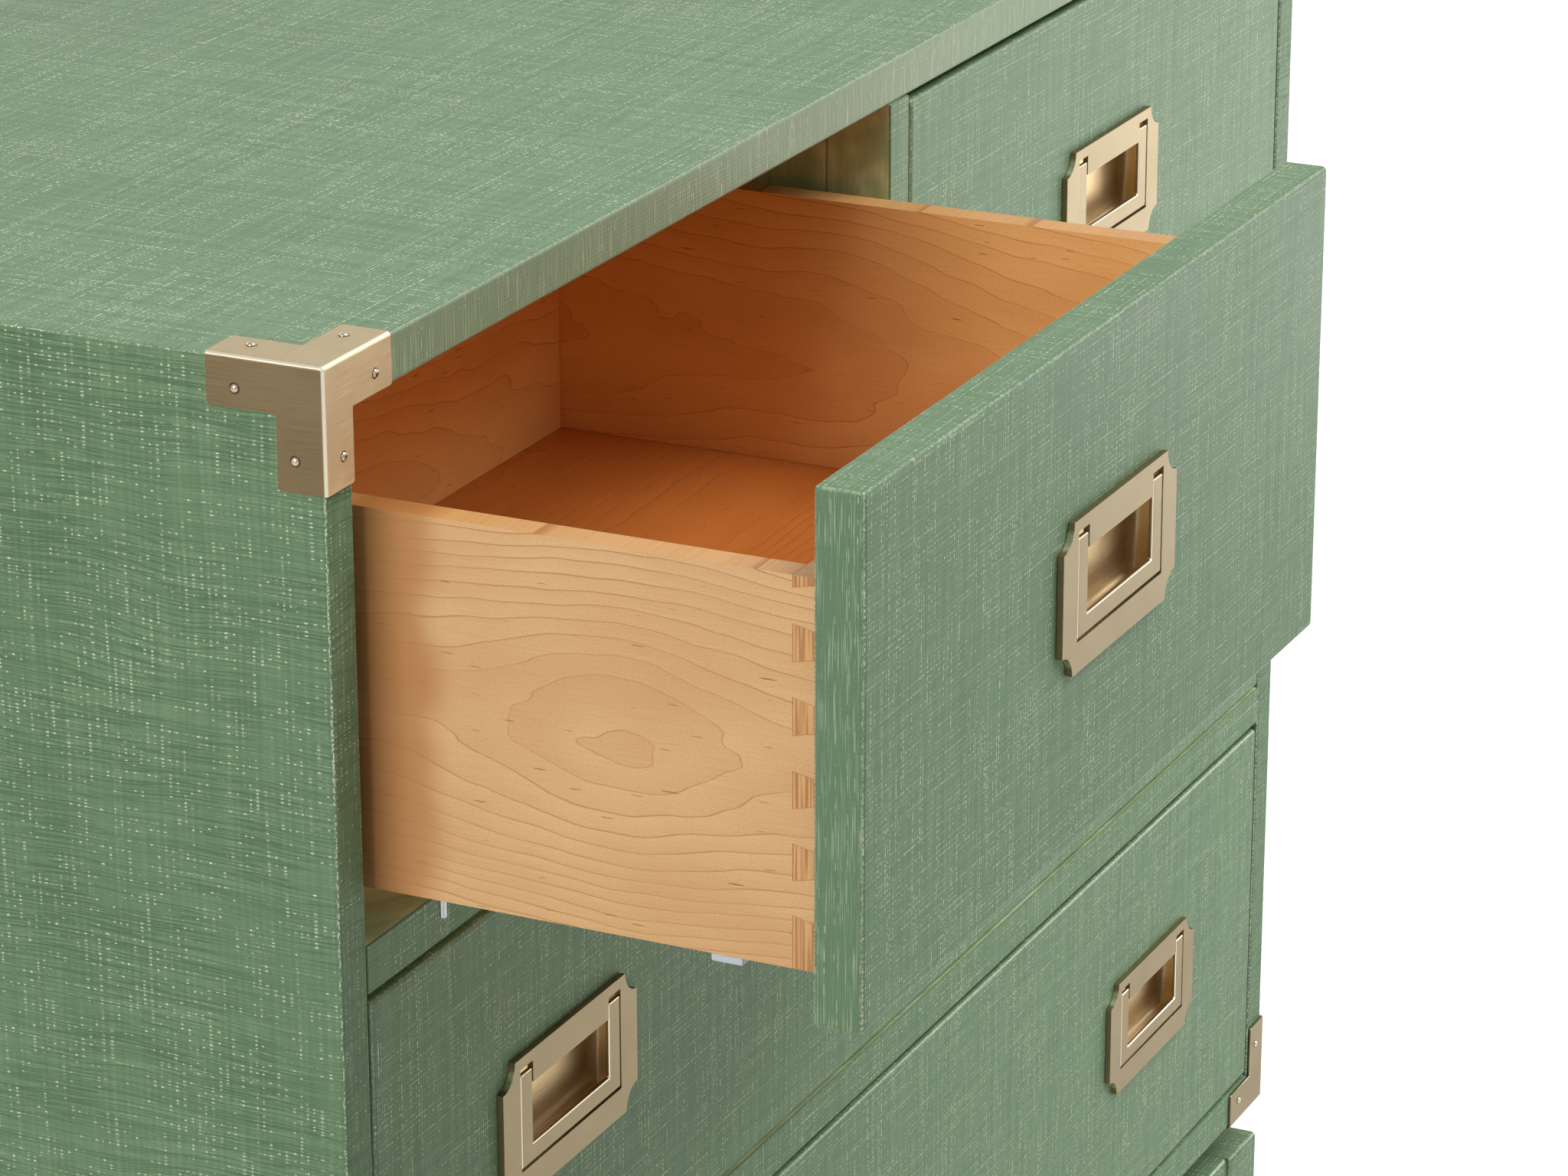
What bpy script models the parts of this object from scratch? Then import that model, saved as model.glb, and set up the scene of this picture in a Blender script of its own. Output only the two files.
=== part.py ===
"""Campaign chest: a painted case with two half-width drawers over two full-width drawers.

Metres, +Z up, front towards -Y. The origin lies on the floor, below the middle of the chest's
bounding box with the top left drawer standing open. Every piece is one named object. Each drawer
hangs on an empty that slides along Y, and each bail has its origin on its hinge line.
"""

import math
from dataclasses import dataclass

import bmesh
import bpy
from mathutils import Vector

# Case
CASE_WIDTH = 1.016
CASE_DEPTH = 0.457
BOARD = 0.020
ROW_OPENING = 0.2135
ROW_COUNT = 3
BACK_PANEL = 0.006

# Reveal and base
REVEAL = 0.0235
REVEAL_SETBACK = 0.030
BASE_HEIGHT = 0.120
POST = 0.041
APRON_HEIGHT = 0.070
APRON_THICK = 0.036
APRON_SETBACK = 0.0025

# Drawer front
FRONT_THICK = 0.020
FRONT_GAP = 0.002
FRONT_TOP_GAP = 0.0036
FRONT_EASE = 0.002

# Drawer box
BOX_HEIGHT = 0.152
BOX_LENGTH = 0.351
BOX_LIFT = 0.0205
BOX_SIDE_GAP = 0.009
SIDE_THICK = 0.012
SUB_FRONT_THICK = 0.0105
BOX_BACK_THICK = 0.012
BOTTOM_THICK = 0.006
BOTTOM_RAISE = 0.022
GROOVE_DEPTH = 0.006
FRONT_GROOVE_DEPTH = 0.005

# Dovetails, measured down from the top edge of the box along the shoulder line
FIRST_TAIL = 0.0049
TAIL_HEIGHT = 0.0133
TAIL_PITCH = 0.0282
TAIL_FLARE = 0.24
LAST_PIN = 0.012

# Undermount slides
SLIDE_LENGTH = 0.345
SLIDE_SETBACK = 0.032
SLIDE_STEEL = 0.0016
SLIDE_FLANGE = 0.026
SLIDE_RAIL = 0.018
SLIDE_FOOT = 0.006
SLIDE_CLEARANCE = 0.0005

# Flush pull
PLATE_WIDTH = 0.118
PLATE_HEIGHT = 0.063
PLATE_THICK = 0.0027
PLATE_NOTCH = 0.0103
SLOT_WIDTH = 0.0886
SLOT_HEIGHT = 0.0455
SLOT_BELOW_TOP = 0.0049
TONGUE_DROP = 0.0095
CUP_DEPTH = 0.0125
CUP_WALL = 0.0012
CUP_ROUND = 0.005
CUP_CLEARANCE = 0.0005
PULL_RISE = 0.0015
PULL_INSET = 0.178

# Bail
ARM_WIDTH = 0.0098
BAR_HEIGHT = 0.0080
BAIL_THICK = 0.0023
BAIL_CLEARANCE = 0.0006
BAIL_FOOT_GAP = 0.0011
BAIL_SINK = 0.0001
ARM_RELIEF = 0.003
PIVOT_DROP = 0.0035
PIVOT_RADIUS = 0.0006
PIVOT_LENGTH = 0.0025
PIVOT_CLEARANCE = 0.0003

# Corner bracket and its nails
BRACKET_LEG = 0.050
BRACKET_WIDTH = 0.0205
BRACKET_THICK = 0.0012
NAIL_RADIUS = 0.0017
NAIL_DOME = 0.0009
NAIL_FROM_CORNER = 0.0358
NAIL_INSET = 0.0113

# Drawer travel: how far the top left drawer stands open, and the gap that pieces that touch keep
TOP_LEFT_OPEN = 0.204
FIT = 0.0003

# Facets of the round details
NOTCH_STEPS = 5
CUP_STEPS = 3
PIVOT_SIDES = 8
NAIL_SIDES = 8
NAIL_RINGS = 4
CUTTER_REACH = 0.001

# Planes worked out from the sizes above
HALF_WIDTH = CASE_WIDTH / 2
PLATE_PROUD = PLATE_THICK + FIT
CASE_FRONT = (TOP_LEFT_OPEN + PLATE_PROUD - CASE_DEPTH) / 2
CASE_BACK = CASE_FRONT + CASE_DEPTH
PANEL_BACK = CASE_BACK - BACK_PANEL - FIT
CASE_BOTTOM = BASE_HEIGHT + REVEAL
CASE_TOP = CASE_BOTTOM + ROW_COUNT * ROW_OPENING + (ROW_COUNT + 1) * BOARD
INNER_HALF = HALF_WIDTH - BOARD


@dataclass
class Drawer:
    """One drawer: the uprights beside it, its row from the bottom, its pulls and how far it is open."""

    name: str
    left: float
    right: float
    row: int
    pulls: dict
    opened: float = 0.0

    @property
    def floor(self):
        return CASE_BOTTOM + BOARD + self.row * (ROW_OPENING + BOARD)

    @property
    def middle(self):
        return (self.left + self.right) / 2

    @property
    def half_opening(self):
        return (self.right - self.left) / 2


def material(name, colour, roughness, metallic=0.0):
    made = bpy.data.materials.new(name)
    made.use_nodes = True
    shader = made.node_tree.nodes["Principled BSDF"]
    shader.inputs["Base Color"].default_value = (*colour, 1.0)
    shader.inputs["Roughness"].default_value = roughness
    shader.inputs["Metallic"].default_value = metallic
    made.diffuse_color = (*colour, 1.0)
    return made


def box(low, high):
    """A block between two opposite corners."""
    mesh = bmesh.new()
    low, high = Vector(low), Vector(high)
    bmesh.ops.create_cube(mesh, size=1.0)
    bmesh.ops.scale(mesh, vec=high - low, verts=mesh.verts)
    bmesh.ops.translate(mesh, vec=(low + high) / 2, verts=mesh.verts)
    return mesh


def prism(outline, axis, start, end):
    """An outline in the two other axes, in X, Y, Z order, extruded along one axis."""
    mesh = bmesh.new()
    corners = []
    for first, second in outline:
        point = [first, second]
        point.insert("XYZ".index(axis), start)
        corners.append(mesh.verts.new(point))
    face = mesh.faces.new(corners)
    extrude(mesh, [face], axis, end - start)
    return mesh


def extrude(mesh, faces, axis, length):
    step = Vector((0, 0, 0))
    step["XYZ".index(axis)] = length
    made = bmesh.ops.extrude_face_region(mesh, geom=faces)["geom"]
    moved = [item for item in made if isinstance(item, bmesh.types.BMVert)]
    bmesh.ops.translate(mesh, vec=step, verts=moved)
    bmesh.ops.recalc_face_normals(mesh, faces=mesh.faces)


def joined(meshes):
    """Several separate bodies in one mesh, for a cutter or a set of nails."""
    whole = meshes[0]
    for mesh in meshes[1:]:
        spare = bpy.data.meshes.new("spare")
        mesh.to_mesh(spare)
        mesh.free()
        whole.from_mesh(spare)
        bpy.data.meshes.remove(spare)
    return whole


def cylinder(centre, radius, low, high, sides):
    """A round bar along X between low and high, about a centre given as (y, z)."""
    outline = []
    for step in range(sides):
        turn = 2 * math.pi * (step + 0.5) / sides
        outline.append((centre[0] + radius * math.cos(turn), centre[1] + radius * math.sin(turn)))
    return prism(outline, "X", low, high)


def add_object(name, mesh, parent):
    data = bpy.data.meshes.new(name)
    mesh.to_mesh(data)
    mesh.free()
    made = bpy.data.objects.new(name, data)
    bpy.context.scene.collection.objects.link(made)
    made.parent = parent
    return made


def piece(name, mesh, finish, parent, place=(0, 0, 0)):
    made = add_object(name, mesh, parent)
    made.location = place
    made.data.materials.append(finish)
    return made


def boolean(target, mesh, operation):
    """Joins or cuts with a hidden helper that belongs to the target."""
    helper = add_object(f"{target.name}_{operation.lower()}", mesh, target)
    helper.hide_render = True
    helper.display_type = "WIRE"
    made = target.modifiers.new(operation.title(), "BOOLEAN")
    made.operation = operation
    made.solver = "EXACT"
    made.object = helper


def ease(target, width, segments=1):
    """Rounds the edges of a block."""
    made = target.modifiers.new("Ease", "BEVEL")
    made.width = width
    made.segments = segments
    made.limit_method = "ANGLE"


def clear_scene():
    for old in list(bpy.data.objects):
        bpy.data.objects.remove(old)


def add_empty(name, place):
    made = bpy.data.objects.new(name, None)
    made.location = place
    bpy.context.scene.collection.objects.link(made)
    return made


def case_shell(finish, case):
    """Top and sides meet on mitres, and the other boards stand between them."""
    mitre = FIT * math.sqrt(2)
    top = [
        (-HALF_WIDTH, CASE_TOP),
        (-INNER_HALF, CASE_TOP - BOARD),
        (INNER_HALF, CASE_TOP - BOARD),
        (HALF_WIDTH, CASE_TOP),
    ]
    piece("top_panel", prism(top, "Y", CASE_FRONT, CASE_BACK), finish, case)
    for side, name in ((-1, "left_side_panel"), (1, "right_side_panel")):
        outline = [
            (side * HALF_WIDTH, CASE_BOTTOM),
            (side * HALF_WIDTH, CASE_TOP - mitre),
            (side * INNER_HALF, CASE_TOP - BOARD - mitre),
            (side * INNER_HALF, CASE_BOTTOM),
        ]
        piece(name, prism(outline, "Y", CASE_FRONT, CASE_BACK), finish, case)
    inside = INNER_HALF - FIT
    floor = CASE_BOTTOM + BOARD
    back = box((-inside, PANEL_BACK + FIT, floor + FIT), (inside, CASE_BACK, CASE_TOP - BOARD - FIT))
    piece("back_panel", back, finish, case)


def case_bottom(finish, case):
    """The bottom board, with the set-back spacer that makes the reveal on its underside."""
    inside = INNER_HALF - FIT
    board = box((-inside, CASE_FRONT, CASE_BOTTOM), (inside, CASE_BACK, CASE_BOTTOM + BOARD))
    made = piece("case_bottom", board, finish, case)
    reach = HALF_WIDTH - REVEAL_SETBACK
    low = (-reach, CASE_FRONT + REVEAL_SETBACK, BASE_HEIGHT + FIT)
    high = (reach, CASE_BACK - REVEAL_SETBACK, CASE_BOTTOM + CUTTER_REACH)
    boolean(made, box(low, high), "UNION")


def case_partitions(finish, case):
    """Web frames between the rows, and the divider between the two top drawers."""
    inside = INNER_HALF - FIT
    for row, name in ((1, "lower_web_frame"), (2, "upper_web_frame")):
        top = CASE_BOTTOM + BOARD + row * (ROW_OPENING + BOARD)
        frame = box((-inside, CASE_FRONT, top - BOARD), (inside, PANEL_BACK, top))
        piece(name, frame, finish, case)
    low = (-BOARD / 2, CASE_FRONT, CASE_TOP - BOARD - ROW_OPENING + FIT)
    high = (BOARD / 2, PANEL_BACK, CASE_TOP - BOARD - FIT)
    piece("centre_divider", box(low, high), finish, case)


def base(finish, case):
    """Two glued leg frames, with the front and back aprons between them."""
    apron_bottom = BASE_HEIGHT - APRON_HEIGHT
    inner = HALF_WIDTH - POST
    for side, name in ((-1, "base_left_frame"), (1, "base_right_frame")):
        post = sorted((side * HALF_WIDTH, side * inner))
        face = HALF_WIDTH - APRON_SETBACK
        apron = sorted((side * face, side * (face - APRON_THICK)))
        front_post = box((post[0], CASE_FRONT, 0), (post[1], CASE_FRONT + POST, BASE_HEIGHT))
        made = piece(name, front_post, finish, case)
        back_post = box((post[0], CASE_BACK - POST, 0), (post[1], CASE_BACK, BASE_HEIGHT))
        boolean(made, back_post, "UNION")
        low = (apron[0], CASE_FRONT + POST - CUTTER_REACH, apron_bottom)
        high = (apron[1], CASE_BACK - POST + CUTTER_REACH, BASE_HEIGHT)
        boolean(made, box(low, high), "UNION")
    reach = inner - FIT
    front = CASE_FRONT + APRON_SETBACK
    back = CASE_BACK - APRON_SETBACK
    for name, low, high in (
        ("base_front_apron", front, front + APRON_THICK),
        ("base_back_apron", back - APRON_THICK, back),
    ):
        piece(name, box((-reach, low, apron_bottom), (reach, high, BASE_HEIGHT)), finish, case)


def nail(centre, face):
    """A flattened ball, half of which shows as the domed head on a face across the given axis."""
    mesh = bmesh.new()
    bmesh.ops.create_uvsphere(mesh, u_segments=NAIL_SIDES, v_segments=NAIL_RINGS, radius=NAIL_RADIUS)
    flat = Vector((1, 1, 1))
    flat[face] = NAIL_DOME / NAIL_RADIUS
    bmesh.ops.scale(mesh, vec=flat, verts=mesh.verts)
    bmesh.ops.translate(mesh, vec=Vector(centre), verts=mesh.verts)
    return mesh


def bracket(name, side, level, upward, finish, case):
    """A thin corner of three faces on one front corner of the case, with two nails in each face."""
    corner = Vector((side * HALF_WIDTH, CASE_FRONT, level))
    inward = Vector((-side, 1, -upward))

    def block(near, far):
        ends = [[corner[i] + inward[i] * reach[i] for i in range(3)] for reach in (near, far)]
        return box([min(pair) for pair in zip(*ends)], [max(pair) for pair in zip(*ends)])

    outside = (-FIT - BRACKET_THICK,) * 3
    bars = []
    for along in range(3):
        reach = [BRACKET_WIDTH] * 3
        reach[along] = BRACKET_LEG
        bars.append(block(outside, reach))
    made = piece(name, bars[0], finish, case)
    boolean(made, bars[1], "UNION")
    boolean(made, bars[2], "UNION")
    heads = []
    for face in range(3):
        for along in range(3):
            if along != face:
                place = [NAIL_INSET] * 3
                place[along] = NAIL_FROM_CORNER
                place[face] = -FIT - BRACKET_THICK
                heads.append(nail([corner[i] + inward[i] * place[i] for i in range(3)], face))
    boolean(made, joined(heads), "UNION")
    boolean(made, block((-FIT,) * 3, (BRACKET_LEG + CUTTER_REACH,) * 3), "DIFFERENCE")


def brackets(finish, case):
    for side, across in ((-1, "left"), (1, "right")):
        bracket(f"bracket_top_{across}", side, CASE_TOP, 1, finish, case)
        bracket(f"bracket_bottom_{across}", side, CASE_BOTTOM, -1, finish, case)


def slides(drawer, finish, case):
    """A steel rail on each upright: a wall flange, a foot under the box and a rail inside its skirt."""
    foot = drawer.floor + BOX_LIFT - SLIDE_FOOT
    rail_top = drawer.floor + BOX_LIFT + BOTTOM_RAISE - FIT
    rail_near = BOX_SIDE_GAP + SIDE_THICK + SLIDE_CLEARANCE
    rail_far = rail_near + SLIDE_RAIL
    profile = [
        (FIT, foot + SLIDE_FLANGE),
        (FIT, foot),
        (rail_far, foot),
        (rail_far, rail_top),
        (rail_near, rail_top),
        (rail_near, foot + SLIDE_STEEL),
        (FIT + SLIDE_STEEL, foot + SLIDE_STEEL),
        (FIT + SLIDE_STEEL, foot + SLIDE_FLANGE),
    ]
    start = CASE_FRONT + SLIDE_SETBACK
    for name, wall, inward in (("left", drawer.left, 1), ("right", drawer.right, -1)):
        outline = [(wall + inward * x, z) for x, z in profile]
        rail = prism(outline, "Y", start, start + SLIDE_LENGTH)
        piece(f"{drawer.name}_{name}_slide", rail, finish, case)


def tails():
    """The start and end of each tail, down from the top edge of the box."""
    spare = BOX_HEIGHT - FIRST_TAIL - TAIL_HEIGHT - LAST_PIN
    count = int(spare / TAIL_PITCH) + 1
    starts = [FIRST_TAIL + index * TAIL_PITCH for index in range(count)]
    return [(start, start + TAIL_HEIGHT) for start in starts]


def box_levels():
    """Bottom and top edge of the box, from the middle of the drawer front."""
    low = -ROW_OPENING / 2 + BOX_LIFT
    return low, low + BOX_HEIGHT


def tail_edge(end, inward, depth, top, bottom, cuts):
    """The sawn end of a side, from its top edge down, with a socket between one tail and the next."""
    flare = TAIL_FLARE * depth
    shoulder = end + inward * (depth + FIT)
    edge = [(shoulder, top)]
    for start, stop in cuts:
        edge += [
            (shoulder, top - start),
            (end, top - start + flare),
            (end, top - stop - flare),
            (shoulder, top - stop),
        ]
    return edge + [(shoulder, bottom)]


def box_side(drawer, name, side, finish, parent):
    low, top = box_levels()
    front = FRONT_THICK + FIT
    back = front + BOX_LENGTH
    outer = drawer.half_opening - BOX_SIDE_GAP
    inner = outer - SIDE_THICK
    front_edge = tail_edge(front, 1, SUB_FRONT_THICK, top, low, tails())
    above_last_tail = tail_edge(back, -1, BOX_BACK_THICK, top, low, tails())[:-3]
    outline = front_edge + [(back, low)] + above_last_tail[::-1]
    span = sorted((side * inner, side * outer))
    made = piece(name, prism(outline, "X", *span), finish, parent)
    groove = sorted((side * (inner - CUTTER_REACH), side * (inner + GROOVE_DEPTH)))
    groove_low = low + BOTTOM_RAISE - FIT
    cut_low = (groove[0], front - CUTTER_REACH, groove_low)
    cut_high = (groove[1], back + CUTTER_REACH, groove_low + BOTTOM_THICK + 2 * FIT)
    boolean(made, box(cut_low, cut_high), "DIFFERENCE")


def pinned_board(lines, front, back, inner, outer):
    """A board across the box. Its ends are split on the tail lines, and every other strip is a pin."""
    mesh = bmesh.new()
    rails = [[mesh.verts.new((-inner, y, z)) for y, z in zip((front, back), line)] for line in lines]
    strips = [mesh.faces.new((a[0], a[1], b[1], b[0])) for a, b in zip(rails, rails[1:])]
    extrude(mesh, strips, "X", 2 * inner)
    middles = [sum(lines[i] + lines[i + 1]) / 4 for i in range(0, len(lines) - 1, 2)]
    for side in (-1, 1):
        ends = [face for face in mesh.faces if face.normal.x * side > 0.5]
        pins = [face for face in ends if min(abs(face.calc_center_median().z - z) for z in middles) < FIT]
        drawn = bmesh.ops.extrude_discrete_faces(mesh, faces=pins)["faces"]
        corners = {vert for face in drawn for vert in face.verts}
        bmesh.ops.translate(mesh, vec=(side * (outer - inner), 0, 0), verts=list(corners))
    bmesh.ops.recalc_face_normals(mesh, faces=mesh.faces)
    return mesh


def pin_lines(top, cuts, depth, flare_first):
    """The level of each pin's edges on the front and on the back face of a board."""
    flare = TAIL_FLARE * depth
    lines = [(top, top)]
    for start, stop in cuts:
        upper = (top - start + flare + FIT, top - start + FIT)
        lower = (top - stop - flare - FIT, top - stop - FIT)
        lines += [upper, lower]
    return [line if flare_first else line[::-1] for line in lines]


def sub_front(drawer, finish, parent):
    low, top = box_levels()
    front = FRONT_THICK + FIT
    outer = drawer.half_opening - BOX_SIDE_GAP
    inner = outer - SIDE_THICK - FIT
    lines = pin_lines(top, tails(), SUB_FRONT_THICK, True) + [(low, low)]
    board = pinned_board(lines, front, front + SUB_FRONT_THICK, inner, outer)
    made = piece(f"{drawer.name}_sub_front", board, finish, parent)
    groove_low = low + BOTTOM_RAISE - FIT
    inside = front + SUB_FRONT_THICK
    cut_low = (-inner - CUTTER_REACH, inside - FRONT_GROOVE_DEPTH, groove_low)
    cut_high = (inner + CUTTER_REACH, inside + CUTTER_REACH, groove_low + BOTTOM_THICK + 2 * FIT)
    boolean(made, box(cut_low, cut_high), "DIFFERENCE")


def box_back(drawer, finish, parent):
    """The back stands on the bottom panel, which slides in below it."""
    low, top = box_levels()
    back = FRONT_THICK + FIT + BOX_LENGTH
    outer = drawer.half_opening - BOX_SIDE_GAP
    inner = outer - SIDE_THICK - FIT
    seat = low + BOTTOM_RAISE + BOTTOM_THICK + FIT
    lines = pin_lines(top, tails(), BOX_BACK_THICK, False)[:-1] + [(seat, seat)]
    board = pinned_board(lines, back - BOX_BACK_THICK, back, inner, outer)
    piece(f"{drawer.name}_back", board, finish, parent)


def box_bottom(drawer, finish, parent):
    low = box_levels()[0] + BOTTOM_RAISE
    front = FRONT_THICK + FIT + SUB_FRONT_THICK - FRONT_GROOVE_DEPTH + FIT
    back = FRONT_THICK + FIT + BOX_LENGTH
    reach = drawer.half_opening - BOX_SIDE_GAP - SIDE_THICK + GROOVE_DEPTH - FIT
    panel = box((-reach, front, low), (reach, back, low + BOTTOM_THICK))
    piece(f"{drawer.name}_bottom", panel, finish, parent)


def slot_levels():
    """Top and bottom of the pull's slot, from the middle of the drawer front."""
    top = PULL_RISE + PLATE_HEIGHT / 2 - SLOT_BELOW_TOP
    return top - SLOT_HEIGHT, top


def drawer_front(drawer, finish, parent):
    half = drawer.half_opening - FRONT_GAP
    low = FRONT_GAP - ROW_OPENING / 2
    high = ROW_OPENING / 2 - FRONT_TOP_GAP
    made = piece(f"{drawer.name}_front", box((-half, 0, low), (half, FRONT_THICK, high)), finish, parent)
    ease(made, FRONT_EASE, 2)
    slot_low, slot_high = slot_levels()
    margin = CUP_WALL + CUP_CLEARANCE
    reach = SLOT_WIDTH / 2 + margin
    for across in drawer.pulls.values():
        mortise = box(
            (across - reach, -CUTTER_REACH, slot_low - margin),
            (across + reach, CUP_DEPTH + CUP_CLEARANCE, slot_high + margin),
        )
        boolean(made, mortise, "DIFFERENCE")


def plate_outline(across):
    """A rectangle whose four corners are cut by hollow quarter circles."""
    points = []
    for side, upward, first in ((1, 1, 1.5), (-1, 1, 2.0), (-1, -1, 0.5), (1, -1, 1.0)):
        corner = (across + side * PLATE_WIDTH / 2, PULL_RISE + upward * PLATE_HEIGHT / 2)
        for step in range(NOTCH_STEPS + 1):
            turn = math.pi * (first - 0.5 * step / NOTCH_STEPS)
            across_turn = PLATE_NOTCH * math.cos(turn)
            upward_turn = PLATE_NOTCH * math.sin(turn)
            points.append((corner[0] + across_turn, corner[1] + upward_turn))
    return points


def finger_half():
    """Half the way between the arms of a bail."""
    return SLOT_WIDTH / 2 - BAIL_CLEARANCE - ARM_WIDTH


def slot_outline(across):
    """The plate's slot, with the tongue that hangs between the arms of the bail."""
    low, high = slot_levels()
    reach = SLOT_WIDTH / 2
    tongue = finger_half() - BAIL_CLEARANCE
    return [
        (across - reach, low),
        (across + reach, low),
        (across + reach, high),
        (across + tongue, high),
        (across + tongue, high - TONGUE_DROP),
        (across - tongue, high - TONGUE_DROP),
        (across - tongue, high),
        (across - reach, high),
    ]


def pivot_place():
    """Depth and level of the bail's hinge line."""
    depth = -PLATE_PROUD + BAIL_SINK + BAIL_THICK / 2
    return depth, slot_levels()[1] - ARM_RELIEF - PIVOT_DROP


def rounded_tray(low, high):
    """A block whose inner edges, away from the plate, are rounded."""
    mesh = box(low, high)
    deep = [edge for edge in mesh.edges if all(vert.co.y > high[1] - FIT for vert in edge.verts)]
    bmesh.ops.bevel(mesh, geom=deep, offset=CUP_ROUND, segments=CUP_STEPS, affect="EDGES")
    return mesh


def pull_plate(name, across, finish, parent):
    """The plate stands on the drawer front, and its cup sinks into the mortise."""
    low, high = slot_levels()
    reach = SLOT_WIDTH / 2
    made = piece(name, prism(plate_outline(across), "Y", -PLATE_PROUD, -FIT), finish, parent)
    wall = Vector((CUP_WALL, 0, CUP_WALL))
    inner_low = Vector((across - reach, -FIT, low))
    inner_high = Vector((across + reach, CUP_DEPTH - CUP_WALL, high))
    outer_low = inner_low - wall - Vector((0, CUTTER_REACH, 0))
    outer_high = inner_high + wall + Vector((0, CUP_WALL, 0))
    boolean(made, rounded_tray(outer_low, outer_high), "UNION")
    boolean(made, rounded_tray(inner_low, inner_high), "DIFFERENCE")
    slot = prism(slot_outline(across), "Y", -PLATE_PROUD - CUTTER_REACH, CUTTER_REACH)
    boolean(made, slot, "DIFFERENCE")
    radius = PIVOT_RADIUS + PIVOT_CLEARANCE
    span = reach - BAIL_CLEARANCE + PIVOT_LENGTH + PIVOT_CLEARANCE
    holes = []
    for side in (-1, 1):
        ends = sorted((across + side * (reach - CUTTER_REACH), across + side * span))
        holes.append(cylinder(pivot_place(), radius, *ends, PIVOT_SIDES))
    boolean(made, joined(holes), "DIFFERENCE")


def pull_bail(name, across, finish, parent):
    """A flat U with a short pin on the outside of each arm, modelled about its hinge line."""
    depth, level = pivot_place()
    low = slot_levels()[0] + BAIL_FOOT_GAP - level
    reach = SLOT_WIDTH / 2 - BAIL_CLEARANCE
    inner = finger_half()
    outline = [
        (-reach, PIVOT_DROP),
        (-reach, low),
        (reach, low),
        (reach, PIVOT_DROP),
        (inner, PIVOT_DROP),
        (inner, low + BAR_HEIGHT),
        (-inner, low + BAR_HEIGHT),
        (-inner, PIVOT_DROP),
    ]
    shape = prism(outline, "Y", -BAIL_THICK / 2, BAIL_THICK / 2)
    made = piece(name, shape, finish, parent, (across, depth, level))
    pins = []
    for side in (-1, 1):
        ends = sorted((side * (reach - CUTTER_REACH), side * (reach + PIVOT_LENGTH)))
        pins.append(cylinder((0, 0), PIVOT_RADIUS, *ends, PIVOT_SIDES))
    boolean(made, joined(pins), "UNION")


def build_drawer(drawer, paint, maple, brass):
    place = (drawer.middle, CASE_FRONT - drawer.opened, drawer.floor + ROW_OPENING / 2)
    runner = add_empty(drawer.name, place)
    drawer_front(drawer, paint, runner)
    sub_front(drawer, maple, runner)
    box_side(drawer, f"{drawer.name}_left_side", -1, maple, runner)
    box_side(drawer, f"{drawer.name}_right_side", 1, maple, runner)
    box_back(drawer, maple, runner)
    box_bottom(drawer, maple, runner)
    for name, across in drawer.pulls.items():
        pull_plate(f"{name}_pull_plate", across, brass, runner)
        pull_bail(f"{name}_pull_bail", across, brass, runner)


def pair(row):
    """The two pulls of a long drawer, set in from the sides of the case."""
    spread = HALF_WIDTH - PULL_INSET
    return {f"{row}_left": -spread, f"{row}_right": spread}


def chest_drawers():
    divider = BOARD / 2
    return [
        Drawer("top_left_drawer", -INNER_HALF, -divider, 2, {"top_left": 0.0}, TOP_LEFT_OPEN),
        Drawer("top_right_drawer", divider, INNER_HALF, 2, {"top_right": 0.0}),
        Drawer("middle_drawer", -INNER_HALF, INNER_HALF, 1, pair("middle")),
        Drawer("bottom_drawer", -INNER_HALF, INNER_HALF, 0, pair("bottom")),
    ]


def main():
    clear_scene()
    paint = material("sea green paint", (0.17, 0.26, 0.16), 0.55)
    maple = material("oiled maple", (0.62, 0.38, 0.18), 0.45)
    brass = material("brushed brass", (0.62, 0.50, 0.32), 0.32, 1.0)
    steel = material("zinc plated steel", (0.60, 0.61, 0.62), 0.40, 1.0)
    case = add_empty("case", (0, 0, 0))
    case_shell(paint, case)
    case_bottom(paint, case)
    case_partitions(paint, case)
    base(paint, case)
    brackets(brass, case)
    for drawer in chest_drawers():
        build_drawer(drawer, paint, maple, brass)
        slides(drawer, steel, case)


main()
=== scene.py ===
# %% [markdown]
# # Dressing a painted campaign chest
#
# The chest arrives as plain solids that already slide and swing: a case, four drawers and six hinged
# bails. This lesson dresses them. The boards get eased edges, the paint its linen texture, the drawer
# boxes their maple, and the pulls and corner brackets their brushed brass. Lengths are in metres, unless
# a name or a note says mm.

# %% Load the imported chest
import math

import bpy
from mathutils import Matrix, Vector


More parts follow.
